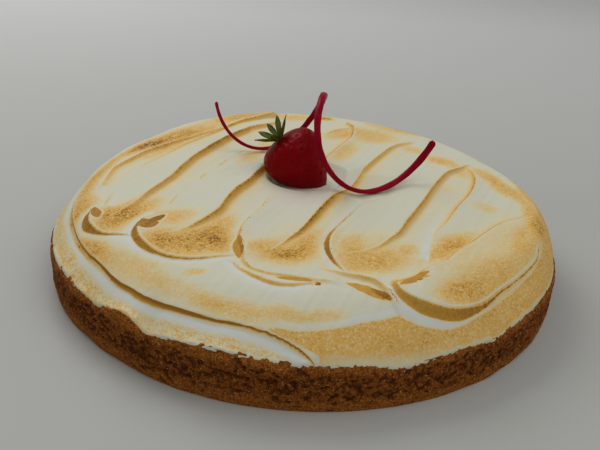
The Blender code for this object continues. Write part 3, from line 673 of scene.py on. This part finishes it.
def curl_size(phase):
    """Half width and half thickness of the curl: slim on the left, fuller on the right."""
    share = ease(phase - CURL_START, math.radians(300))
    return [slim + gain * share for slim, gain in zip(CURL_SLIM, CURL_GAIN)]


def spots_pressed():
    """Where the berry and the two bottoms of the curl press the meringue: x, y, height,
    radius and slope of the side."""
    spots = [(*BERRY_HOLLOW, BERRY_FOOT - GAP, BERRY_HOLLOW_RADIUS, BERRY_HOLLOW_SLOPE)]
    for phase in (0, 2 * math.pi):
        x, y, z = curl_path(np.array(phase))
        foot = z - curl_size(np.array(phase))[1] - GAP
        spots.append((x, y, foot, CURL_HOLLOW_RADIUS, CURL_HOLLOW_SLOPE))
    return spots


def shoulder_at(direction):
    """Width and squareness of the shoulder in a direction, eased between the listed ones."""
    stops, widths, squares = np.array(SHOULDER, dtype=float).T
    k = np.clip(np.searchsorted(stops, direction, side="right") - 1, 0, len(stops) - 2)
    t = ease(direction - stops[k], stops[k + 1] - stops[k])
    return (widths[k] + t * (widths[k + 1] - widths[k]),
            squares[k] + t * (squares[k + 1] - squares[k]))


def meringue_surface():
    """Points of the meringue's top on a disc grid, with its masks. Height is a low dome,
    the step of the second coat, the marks of the spatula, faint streaks along them, soft
    lumps and a ragged thin edge, pressed down under berry and curl."""
    grid = disc_grid(MERINGUE_CELLS).reshape(-1, 2) * MERINGUE_RADIUS
    radius = np.hypot(grid[:, 0], grid[:, 1])
    inside = radius < MERINGUE_RADIUS - 1.5 * CELL
    grid[inside] = draw_to_crests(grid[inside] / MM) * MM
    x, y = grid.T
    radius = np.hypot(x, y)
    angle = np.arctan2(y, x)
    dent = dent_at(angle) * ease(radius - 0.106, 0.0126)
    grid = grid * (1 - MERINGUE_DENT / MERINGUE_RADIUS * dent)[:, None]
    ridge, masks = read_strokes(grid / MM)
    back = 0.5 + 0.5 * np.clip(y / 0.1, -1, 1)
    rise = MERINGUE_FRONT + (MERINGUE_BACK - MERINGUE_FRONT) * back
    width, square = shoulder_at(np.degrees(angle))
    inward = np.clip((MERINGUE_RADIUS - radius) / (width * MM), 0, 1)
    dome = np.sin(0.5 * math.pi * inward) ** square
    dome = MERINGUE_EDGE + (rise - MERINGUE_EDGE) * dome
    edge, place, past, _ = along_line(grid / MM, COAT_EDGE)
    width = at_steps(place, COAT_WALL)
    sunk = SECOND_COAT * (1 - ease(edge + width, width)) * bell(past, 5)
    dome = np.maximum(dome - sunk, MERINGUE_EDGE + 0.5 * (dome - MERINGUE_EDGE))
    masks["coat"] = np.clip(-edge, -FAR, 2 * FAR)
    masks["coat_end"] = width
    # the coat's wall: brown partly toast, partly painted shade
    masks["coat_brown"] = 0.92 * bell(past, 4)
    inner = 1 - ease(radius - 0.11, 0.008)
    rim = (rim_height(angle) - CRUST_HEIGHT) * np.exp(-(MERINGUE_RADIUS - radius) / 0.006)
    flat = np.column_stack([grid, np.zeros(len(grid))])
    # the streaks run the way of most strokes, about 65 degrees from the x axis
    along = flat @ np.array([[0.42, -0.91], [0.91, 0.42], [0, 0]])
    streaks = lumps(np.column_stack([along[:, 0] * 0.06, along[:, 1], 0 * x]), 0.0019, 21)
    soft = lumps(flat, 0.011, 22) - 0.5
    fine = lumps(flat, 0.0022, 23) - 0.5
    height = CRUST_HEIGHT + dome + rim + inner * MM * ridge
    height += inner * (0.00022 * (streaks - 0.5) + 0.0005 * soft + 0.00012 * fine)
    thin = ease(radius - 0.116, 0.0026)
    ragged = 0.0016 * lumps(flat, 0.004, 24) + 0.0008 * lumps(flat, 0.0016, 25)
    height -= thin * (ragged - 0.0006)
    for low_x, low_y, level, reach, slope in spots_pressed():
        away = np.maximum(np.hypot(x - low_x, y - low_y) - reach, 0)
        height = np.minimum(height, level + slope * away)
    masks.update(toast_masks(grid / MM, masks["white"], edge))
    return np.column_stack([grid, height]), masks


def toast_masks(xy, white, coat):
    """Browning of the open surface, mottling, whiteness (with the painted highlight of the skirt's
    lip) and a rosy tint, a pink stain with the berry's painted red reflection, from 0 up. The
    browning is the strongest of the patches, each fading off the middle of an ellipse, the
    wrinkles, the flecked ring outside the second coat and the rim at the far right. Also
    the distance inside the golden skirt (mm), and its browning."""
    x, y = xy.T
    radius = np.hypot(x, y)
    pale = np.ones_like(x)
    for px, py, long, wide, direction, strength in PATCHES:
        u, v = turned_place(xy, px, py, direction)
        pale *= 1 - strength / 100 * np.exp(-((u / long) ** 2 + (v / wide) ** 2) ** 1.6)
    patch = 1 - pale
    wrinkle = np.zeros_like(x)
    for x0, y0, x1, y1 in WRINKLES:
        dist, _, past, _ = along_line(xy, [(x0, y0), (x1, y1)], spans=1)
        wrinkle = np.maximum(wrinkle, np.exp(-(dist / 0.45) ** 2 - (past / 0.8) ** 2))
    upper = along_line(xy, SKIRT_UPPER)[0]
    lower = along_line(xy, SKIRT_LOWER)[0]
    left = ease(12 - x, 4) * ease(40 - y, 20)
    skirt = np.where(x < 8, np.minimum(-upper, lower), -upper)
    outside = left * ease(-coat)
    foot = outside * bell(np.maximum(-coat - 2.2, 0), 1.8) * ease(-coat - 1)
    ring = outside * ease(-coat - 2.8, 2) * ease(118.4 - radius, 1.2)
    # painted highlight: a pale lip along the golden skirt's upper edge
    lip_highlight = bell(upper - 1.3, 1.1) * ease(x + 10, 5) * (x < 37)
    rim = ease(radius - 117.8, 0.8)
    white = np.clip(np.maximum.reduce([white, foot, 0.8 * lip_highlight]), 0, 1) * (1 - 0.5 * rim)
    toast = np.maximum(patch * (1 - 0.9 * white), 0.44 * ring * (1 - foot))
    toast = np.maximum(toast, 0.75 * wrinkle)
    far_rim = bell(radius - 117.2, 1.6) * ease(x - 30, 40)
    toast = np.maximum(toast, 0.8 * far_rim * ease(y + 50, 30))
    low_rim = ease(radius - 115.4, 2.8) * bell(x - 28, 26) * (y < 0)
    gold = 0.63 * (1 - 0.7 * rim) * (1 - 0.65 * low_rim) * ease(x + 18, 10)
    return {
        "toast": toast, "white": white, "skirt": np.clip(skirt, -FAR, FAR), "skirt_brown": gold,
        "mottle": np.clip(0.5 + 1.1 * patch + 2.4 * ring, 0, 2.6) * (1 - 0.9 * white),
        # pink stain with the berry's painted reflection, in front of the berry
        "blush": np.exp(-((x + 2) / 26) ** 2 - ((y + 12) / 17) ** 2),
    }


def meringue_finish():
    """Toasted foam: white to golden to dark brown by the strongest of its brownings, the brown of
    the walls partly painted shade, each broken up by mottling of three sizes, by dark specks and
    by pale specks of painted highlight. Sharp edges come from the distances; a painted highlight,
    a pale lip, follows the crests; a pink stain with the berry's painted reflection, and a
    painted bluish sheen on the white, tint what is bare."""
    material, place = new_finish("toasted meringue", Roughness=0.6, Specular_IOR_Level=0.15)
    mask = {name: place.mask(name) for name in (
        "wall", "wall_brown", "crest", "crest_brown", "coat", "coat_brown", "skirt",
        "skirt_brown", "toast", "mottle", "white", "blush", "wall_end", "coat_end")}
    broad = place.grain(0.0085, 2) - 0.5
    blotch = place.grain(0.0026, 3, 0.6) - 0.5
    fleck = place.grain(0.0011, 3, 0.65) - 0.5
    speck = place.grain(0.0009, 1)
    dark_specks = speck.ramp(0.58, 0.74)
    # painted highlight: pale specks for the small glints of the foam's crinkles
    pale_speck_highlights = speck.ramp(0.46, 0.33)
    ragged = fleck * 1.4 + blotch * 0.8
    spread = broad * 0.4 + blotch * 0.9 + fleck * 1.6
    open_toast = mask["toast"] + mask["mottle"] * (
        spread * (mask["toast"] * 0.3 + 0.16) + dark_specks * 0.05 - pale_speck_highlights * 0.18)
    # painted highlight: a pale lip just above each crest, wall end and coat edge
    lip_highlights = []
    for name in ("crest", "wall", "coat"):
        near = (mask[name] + 1.1).ramp(0, 0.5) * (mask[name] * -1).ramp(0, 0.3)
        lip_highlights.append(near * (mask[name + "_brown"] * 1.3).limited() * (0.4 if name == "coat" else 1))
    lip_highlight = lip_highlights[0].most(*lip_highlights[1:])
    open_toast = open_toast * (1 - lip_highlight * 0.7)
    uneven = 1 + spread * 0.35
    skirt = (mask["skirt"] + ragged * 0.5).ramp(0, 0.9) * mask["skirt_brown"] \
        * (1 + spread * 0.4 + dark_specks * 0.12 - pale_speck_highlights * 0.4)
    crest = (mask["crest"] + ragged * 0.5).ramp(-0.5, 0.6) * mask["crest_brown"] * uneven
    crest = crest * (1 + (mask["crest"] + ragged * 0.5).ramp(1.6, 0.4) * 0.1
                     + dark_specks * 0.03 - pale_speck_highlights * 0.1)
    # the brown of the wall ends and of the coat's edge is partly painted shade, where they face the front
    wall = (mask["wall"] + ragged * 0.3).ramp(-0.1, 0.5) * mask["wall_brown"] \
        * (mask["wall_end"] - mask["wall"] + ragged * 0.3).ramp(-0.1, 0.5) \
        * (1 + spread * 0.16)
    coat = (mask["coat"] + ragged * 0.15).ramp(-0.3, 0) * mask["coat_brown"] \
        * (mask["coat_end"] - mask["coat"] + ragged * 0.2).ramp(-0.2, 0.4) \
        * (1 - (mask["coat"] - 0.4).ramp(0, 1.4) * 0.34)
    toast = open_toast.most(skirt, crest, coat, wall).limited()
    shade = toast.node("ShaderNodeValToRGB", {"stops": TOAST_STOPS}, {0: toast})
    bare = (toast * -4 + 1).limited()
    # a pink stain with the berry's painted reflection, on what is bare
    shade = (mask["blush"] * bare * 0.8).tint(shade, PINK_STAIN_AND_REFLECTION_COLOUR)
    # painted light: a bluish sheen over the unbrowned white, lifting the shade at the walls' feet
    shade = (mask["white"] * bare * 0.8).tint(shade, BLUISH_SHEEN_COLOUR)
    relief = fleck * 0.5 + blotch * 0.6
    return connect(material, Base_Color=shade, Normal=bumps(relief, 0.35, 0.0005))


def meringue_cap():
    """The closed cap: its top, each cell cut along the diagonal that is more nearly level
    (on the grid's own diagonals always along the one that leaves no sliver), a short edge
    down to the crust, and its flat underside."""
    top, masks = meringue_surface()
    cells = MERINGUE_CELLS
    i, j = np.meshgrid(np.arange(cells), np.arange(cells), indexing="ij")
    corner = (i * (cells + 1) + j).ravel()
    a, b, c, d = corner, corner + cells + 1, corner + cells + 2, corner + 1
    level = top[:, 2]
    cut = np.abs(level[a] - level[c]) < np.abs(level[b] - level[d])
    cut = np.where((i + j).ravel() == cells - 1, False, cut | (i == j).ravel())
    faces = np.stack([a, b, np.where(cut, c, d)], axis=1).tolist()
    faces += np.stack([np.where(cut, a, b), c, d], axis=1).tolist()
    ids = np.arange((cells + 1) ** 2).reshape(cells + 1, cells + 1)
    ids = np.concatenate([ids[0, :-1], ids[:-1, -1], ids[-1, 1:], ids[1:, 0]])
    ids = ids[np.argsort(np.arctan2(top[ids, 1], top[ids, 0]) % (2 * math.pi - 1e-6))]
    edge = top[ids]
    angle = np.arctan2(edge[:, 1], edge[:, 0])
    low = rim_height(angle) - MERINGUE_SUNK
    rings = [edge * (1, 1, 0) + np.column_stack([0 * low, 0 * low, low])]
    rings.append(rings[0] * (0.96, 0.96, 1) - (0, 0, 0.001))
    count = len(top)
    many = len(ids)
    k = np.arange(many)
    faces += band(count + k, ids) + band(count + many + k, count + k)
    faces.append((count + many + k[::-1]).tolist())
    points = np.concatenate([top] + rings)
    for name, values in masks.items():
        masks[name] = np.concatenate([values, values[ids], values[ids]])
    return points, faces, masks


points, faces, masks = meringue_cap()
meringue = new_piece("meringue_cap", points, faces, meringue_finish(), masks)
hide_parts("meringue")

# ---- Strawberry --------------------------------------------------
# One ripe, dark red berry that leans on its flank with its stem end to the upper left.
# Its skin is moist, with a dimple round each seed.
BERRY_LENGTH = 0.0365
BERRY_GIRTH = 0.0139
BERRY_TAPER = 0.48
BERRY_TILT = math.radians(40.7)
BERRY_CENTRE = np.array([-0.0038, 0.0136, 0.0436])
BERRY_SEEDS = 150
SEED_TURN = math.radians(137.508)
SEED_HALF_LENGTH = 0.00078
SEED_HALF_WIDTH = 0.00044
DIMPLE_RADIUS = 0.00085
DIMPLE_DEPTH = 0.00042
BERRY_COLOUR = (0.225, 0.0008, 0.0036)
BERRY_BRIGHT = (0.26, 0.0014, 0.005)
# painted shade: the darker colour of the dimples round the seeds
DIMPLE_SHADE_COLOUR = (0.11, 0.0008, 0.002)
SEED_COLOUR = (0.17, 0.004, 0.005)
SEED_BRIGHT = (0.23, 0.012, 0.007)


def tilt_berry(points):
    """Turn points about the y axis so that the stem leans to the left, and place them."""
    c, s = math.cos(BERRY_TILT), math.sin(BERRY_TILT)
    x = c * points[:, 0] - s * points[:, 2]
    z = s * points[:, 0] + c * points[:, 2]
    return np.column_stack([x, points[:, 1], z]) + BERRY_CENTRE


def berry_surface(sweep, turn):
    """A point of the berry: sweep runs from the stem, 0, to the tip, pi, round the axis
    by turn; the girth follows a sine, fuller towards the stem."""
    along = 0.5 * BERRY_LENGTH * (np.cos(sweep) - 0.1 * np.maximum(np.cos(sweep), 0) ** 2)
    dimples = 1 + 0.012 * np.sin(9 * turn + 4 * sweep) * np.sin(7 * sweep)
    girth = BERRY_GIRTH * np.sin(sweep) ** 0.85 * (1 + BERRY_TAPER * np.cos(sweep)) * dimples
    return np.stack([girth * np.cos(turn), girth * np.sin(turn), along], axis=-1)


def seed_places():
    """Directions of the seeds: evenly spread on a spiral, by the golden angle."""
    k = np.arange(BERRY_SEEDS)
    sweep = np.arccos(0.93 - 1.86 * (k + 0.5) / BERRY_SEEDS)
    return sweep, k * SEED_TURN


def fan(apex, ring):
    """Triangles between one point and a ring of points."""
    return np.stack([0 * ring + apex, ring, np.roll(ring, -1)], axis=1).tolist()


def unit(arrows):
    """The same arrows, each of length 1."""
    return arrows / np.linalg.norm(arrows, axis=1)[:, None]


def berry_skin():
    """The berry's skin: its surface, sunk round each seed by a Gaussian dimple, and flat
    where it sits in the meringue."""
    rows, sides = 190, 260
    sweep = np.linspace(0, math.pi, rows + 1)[1:-1]
    s, t = np.meshgrid(sweep, around(sides), indexing="ij")
    body = berry_surface(s, t).reshape(-1, 3)
    body = np.concatenate([body, berry_surface(np.array([0, math.pi]), np.zeros(2))])
    seeds = berry_surface(*seed_places())
    sunk = np.zeros(len(body))
    for seed in seeds:
        away = np.linalg.norm(body - seed, axis=1)
        sunk = np.maximum(sunk, bell(away, DIMPLE_RADIUS))
    out = body / np.linalg.norm(body * (1, 1, 0.8), axis=1)[:, None]
    body -= out * (DIMPLE_DEPTH * sunk - 0.00008)[:, None]
    points = tilt_berry(body)
    points[:, 2] = np.maximum(points[:, 2], BERRY_FOOT)
    stem = (rows - 1) * sides
    ring = np.arange(sides)
    faces = [face[::-1] for face in ring_quads(rows - 1, sides)] + fan(stem, ring)
    faces += [[tip, n, k] for tip, k, n in fan(stem + 1, ring + (rows - 2) * sides)]
    return points, faces, sunk


def berry_finish():
    """Ripe skin: deep red in soft clouds, with painted shade darker in the dimples, under a wet gloss."""
    material, place = new_finish("ripe skin", Roughness=0.35, Specular_IOR_Level=0.02,
                                 Coat_Weight=0.06, Coat_Roughness=0.16)
    cloud = place.grain(0.006, 2)
    shade = cloud.ramp(0.35, 0.75).tint(BERRY_COLOUR, BERRY_BRIGHT)
    # painted shade darkens the dimples
    shade = (place.mask("sunk") * 0.45).tint(shade, DIMPLE_SHADE_COLOUR)
    skin = place.grain(0.0012, 2)
    return connect(material, Base_Color=shade, Roughness=cloud * 0.15 + 0.24,
                   Normal=bumps(skin, 0.25, 0.0003))


def berry_seed_mesh():
    """All the seeds: small pointed ovals that sit in the dimples, six sides by three."""
    sweep, turn = seed_places()
    middle = berry_surface(sweep, turn)
    ahead = unit(berry_surface(sweep + 0.02, turn) - middle)
    across = unit(berry_surface(sweep, turn + 0.02) - middle)
    out = np.cross(ahead, across)
    middle = middle - 0.00028 * out
    rings = []
    # three rings from the foot up: height over the middle, and share of the full size
    for lift, size in ((-0.00012, 0.5), (0.00006, 1), (0.00026, 0.55)):
        for a in around(6):
            rings.append(middle + out * lift + ahead * (SEED_HALF_LENGTH * size * math.cos(a))
                         + across * (SEED_HALF_WIDTH * size * math.sin(a)))
    points = np.stack(rings, axis=1)
    points = np.concatenate([points, (middle - out * 0.0002)[:, None],
                             (middle + out * 0.00034)[:, None]], axis=1)
    ring = np.arange(6)
    one = ring_quads(3, 6) + [[foot, n, k] for foot, k, n in fan(18, ring)] + fan(19, 12 + ring)
    placed = tilt_berry(points.reshape(-1, 3)).reshape(points.shape)
    shown = placed[:, :, 2].min(axis=1) > BERRY_FOOT + 0.0003
    placed = placed[shown]
    faces = []
    for k in range(len(placed)):
        faces += [[corner + 20 * k for corner in face] for face in one]
    return placed.reshape(-1, 3), faces


points, faces, sunk = berry_skin()
berry = new_piece("berry_skin", points, faces, berry_finish(), {"sunk": sunk})
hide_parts("strawberry")

# the seeds are red as the skin, some a little more orange
seed_finish, place = new_finish("berry seeds", Roughness=0.5, Specular_IOR_Level=0.1)
connect(seed_finish, Base_Color=place.grain(0.003).ramp(0.4, 0.6).tint(SEED_COLOUR, SEED_BRIGHT))
points, faces = berry_seed_mesh()
seeds = new_piece("berry_seeds", points, faces, seed_finish)

# ---- Calyx -------------------------------------------------------
# The green cap of the berry: pointed leaves that lift off the shoulder of the berry, each
# folded a little along its rib.
CALYX_LEAVES = [
    (-12, 11.2), (30, 9), (70, 11.4), (104, 10.6), (137, 11), (180, 10.2), (222, 11.2), (270, 9),
    (310, 9.2),
]
CALYX_THICKNESS = 0.0006
# radius of the undivided middle, and how far the sheet waves up and down
CALYX_MIDDLE = 0.0026
CALYX_WAVE = 0.00035
LEAF_COLOUR = (0.06, 0.08, 0.008)
LEAF_PALE = (0.125, 0.15, 0.02)
RIB_COLOUR = (0.24, 0.25, 0.07)


def calyx_star():
    """The calyx as one thin star with as many points as leaves, each leaf's outline a
    square root; the sheet rises outwards and is folded up at each leaf's edges."""
    steps = 36
    leaves = len(CALYX_LEAVES)
    count = leaves * steps
    directions, reaches = np.array(CALYX_LEAVES + CALYX_LEAVES[:1], dtype=float).T
    directions[-1] += 360
    along = np.arange(count) / steps
    leaf = np.rint(along).astype(int)
    turn = np.radians(np.interp(along, np.arange(leaves + 1), directions))
    beside = 2 * np.abs(along - leaf)
    outline = CALYX_MIDDLE + (MM * reaches[leaf] - CALYX_MIDDLE) * np.sqrt(1 - beside)
    base = 0.5 * BERRY_LENGTH * 0.9 + GAP
    shares = np.linspace(0.1, 1, 16)
    rings = [np.zeros((1, 3))]
    for share in shares:
        radius = outline * share
        lift = 0.85 * np.maximum(radius - 0.0022, 0)
        wave = CALYX_WAVE * np.sin(3 * turn + 9 * share) * share
        fold = CALYX_WAVE * beside * share ** 2
        rings.append(np.column_stack([radius * np.cos(turn), radius * np.sin(turn),
                                      lift + wave + fold + CALYX_WAVE * share]))
    sheet = np.concatenate(rings)
    thick = np.concatenate([[1], np.repeat(1 - 0.6 * shares ** 3, count)])
    under = sheet + np.array([0, 0, base])
    upper = under + np.outer(thick, [0, 0, CALYX_THICKNESS])
    half = len(sheet)
    rows = len(shares)
    centre = np.array(fan(0, 1 + np.arange(count)))
    quads = np.array(ring_quads(rows, count)) + 1
    last = np.arange(count) + 1 + (rows - 1) * count
    faces = (quads[:, ::-1] + half).tolist() + quads.tolist()
    faces += (centre + half).tolist() + centre[:, ::-1].tolist() + band(last, half + last)
    rib = np.concatenate([[0], np.tile(1 - beside, rows)])
    return tilt_berry(np.concatenate([under, upper])), faces, np.concatenate([rib, rib])


def calyx_finish():
    """Leaf green: dark, a little paler along the rib and mottled."""
    material, place = new_finish("leaf", Roughness=0.55, Specular_IOR_Level=0.12)
    cloud = place.grain(0.0022, 3)
    shade = cloud.ramp(0.3, 0.7).tint(LEAF_COLOUR, LEAF_PALE)
    shade = (place.mask("rib").ramp(0.9, 1) * 0.6).tint(shade, RIB_COLOUR)
    return connect(material, Base_Color=shade, Normal=bumps(cloud, 0.4, 0.0003))


points, faces, rib = calyx_star()
calyx = new_piece("calyx_leaves", points, faces, calyx_finish(), {"rib": rib})
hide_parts("strawberry_calyx")

# ---- Curl --------------------------------------------------------
# A strand of dark red sugar wound on a rod while warm: it lies on the meringue with two
# bends, and its top loop stands over the berry.
CURL_END = math.radians(448)
CURL_COLOUR = (0.25, 0.0016, 0.012)
CURL_BRIGHT = (0.33, 0.0035, 0.023)


def curl_strand():
    """An oval section carried along the path, slim on the left and fuller on the right,
    with rounded ends."""
    stations, sides = 700, 28
    phase = np.linspace(CURL_START, CURL_END, stations)
    path = curl_path(phase)
    ahead = unit(np.gradient(path, axis=0))
    axis = np.array([math.cos(CURL_AXIS), math.sin(CURL_AXIS), 0])
    across = unit(axis - (ahead @ axis)[:, None] * ahead)
    outward = np.cross(ahead, across)
    half_wide, half_thick = curl_size(phase)
    uneven = 1 + 0.04 * np.sin(7 * phase) + 0.03 * np.sin(17 * phase + 1)
    tip = np.minimum(np.arange(stations), np.arange(stations)[::-1])
    round_off = np.sqrt(np.clip(1 - (1 - np.minimum(tip / 3, 1)) ** 2, 0.35, 1))
    wide = half_wide * uneven * round_off
    thick = half_thick * uneven * round_off
    c = np.cos(around(sides))[None, :, None]
    s = np.sin(around(sides))[None, :, None]
    points = path[:, None] + wide[:, None, None] * c * across[:, None] \
        + thick[:, None, None] * s * outward[:, None]
    return points.reshape(-1, 3), ring_quads(stations, sides, closed=True)


def curl_finish():
    """Boiled sugar: dark red with a hard gloss, a little cloudy."""
    material, place = new_finish("red sugar", Roughness=0.24, Specular_IOR_Level=0.03,
                                 Coat_Weight=0.02, Coat_Roughness=0.08)
    cloud = place.grain(0.004, 3)
    shade = cloud.ramp(0.3, 0.7).tint(CURL_COLOUR, CURL_BRIGHT)
    skin = place.grain(0.0015, 2)
    return connect(material, Base_Color=shade, Roughness=cloud * 0.2 + 0.16,
                   Normal=bumps(skin, 0.2, 0.0003))


points, faces = curl_strand()
curl = new_piece("sugar_strand", points, faces, curl_finish())
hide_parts("sugar_curl")

# ---- Floor, light and camera -------------------------------------
# A plain pale surface, painted lighter towards the back, under broad, soft light from above,
# seen from the front at about 28 degrees.
FLOOR_SIZE = 6
FLOOR_COLOUR = (0.5, 0.505, 0.475)
FLOOR_BRIGHT = (0.52, 0.525, 0.495)
# painted light: the floor's lighter colour towards the back
FLOOR_FAR_LIT = (0.64, 0.645, 0.625)
LIT_POINT = (0, 0, 0.02)
ROOM_COLOUR = (0.98, 0.98, 0.97, 1)
ROOM_LIGHT = 0.29

floor_finish, place = new_finish("pale floor", Roughness=0.7)
shade = place.grain(0.4).ramp(0.3, 0.7).tint(FLOOR_COLOUR, FLOOR_BRIGHT)
# painted light: the floor grows lighter towards the back
connect(floor_finish, Base_Color=place.axis("Y").ramp(0.1, 0.75).tint(shade, FLOOR_FAR_LIT))
half = 0.5 * FLOOR_SIZE
corners = [(-half, -half, 0), (half, -half, 0), (half, half, 0), (-half, half, 0)]
floor = linked("floor", new_mesh("floor", corners, [(0, 1, 2, 3)], floor_finish))


def soft_light(name, place, size, power):
    """A square area light that faces the pie; its side in metres, its power in watts."""
    light = bpy.data.lights.new(name, "AREA")
    light.size = size
    light.energy = power
    lamp = linked(name, light)
    offset = np.array(LIT_POINT) - place
    lamp.rotation_euler = Vector(offset).to_track_quat("-Z", "Y").to_euler()
    lamp.location = place


soft_light("window", (-0.7, 0.9, 1.1), 1, 8.5)
soft_light("ceiling", (0.6, -0.35, 1.5), 1.4, 6.5)

world = bpy.data.worlds.new("room")
bpy.context.scene.world = world
world.use_nodes = True
world.node_tree.nodes["Background"].inputs["Color"].default_value = ROOM_COLOUR
world.node_tree.nodes["Background"].inputs["Strength"].default_value = ROOM_LIGHT
bpy.context.scene.view_settings.view_transform = "Standard"

# The camera stands 357 mm from the pie's middle. It is turned a little off that line, and
# rolled, as the hand-held one was.
CAMERA_DISTANCE = 0.3566
CAMERA_HEIGHT_ANGLE = 27.81
CAMERA_PAN = 0.352
CAMERA_PITCH = 2.425
CAMERA_ROLL = 3.517
CAMERA_LENS = 42
CAMERA_SENSOR = 36


def turned(axis, degrees):
    """A turn about one of the camera's own axes."""
    return Matrix.Rotation(math.radians(degrees), 4, axis)


camera_data = bpy.data.cameras.new("camera")
camera_data.lens = CAMERA_LENS
camera_data.sensor_width = CAMERA_SENSOR
camera_data.clip_start = 0.01
camera = linked("camera", camera_data)
camera.matrix_world = (
    turned("X", 90 - CAMERA_HEIGHT_ANGLE) @ Matrix.Translation((0, 0, CAMERA_DISTANCE))
    @ turned("Y", CAMERA_PAN) @ turned("X", CAMERA_PITCH) @ turned("Z", CAMERA_ROLL))
bpy.context.scene.camera = camera
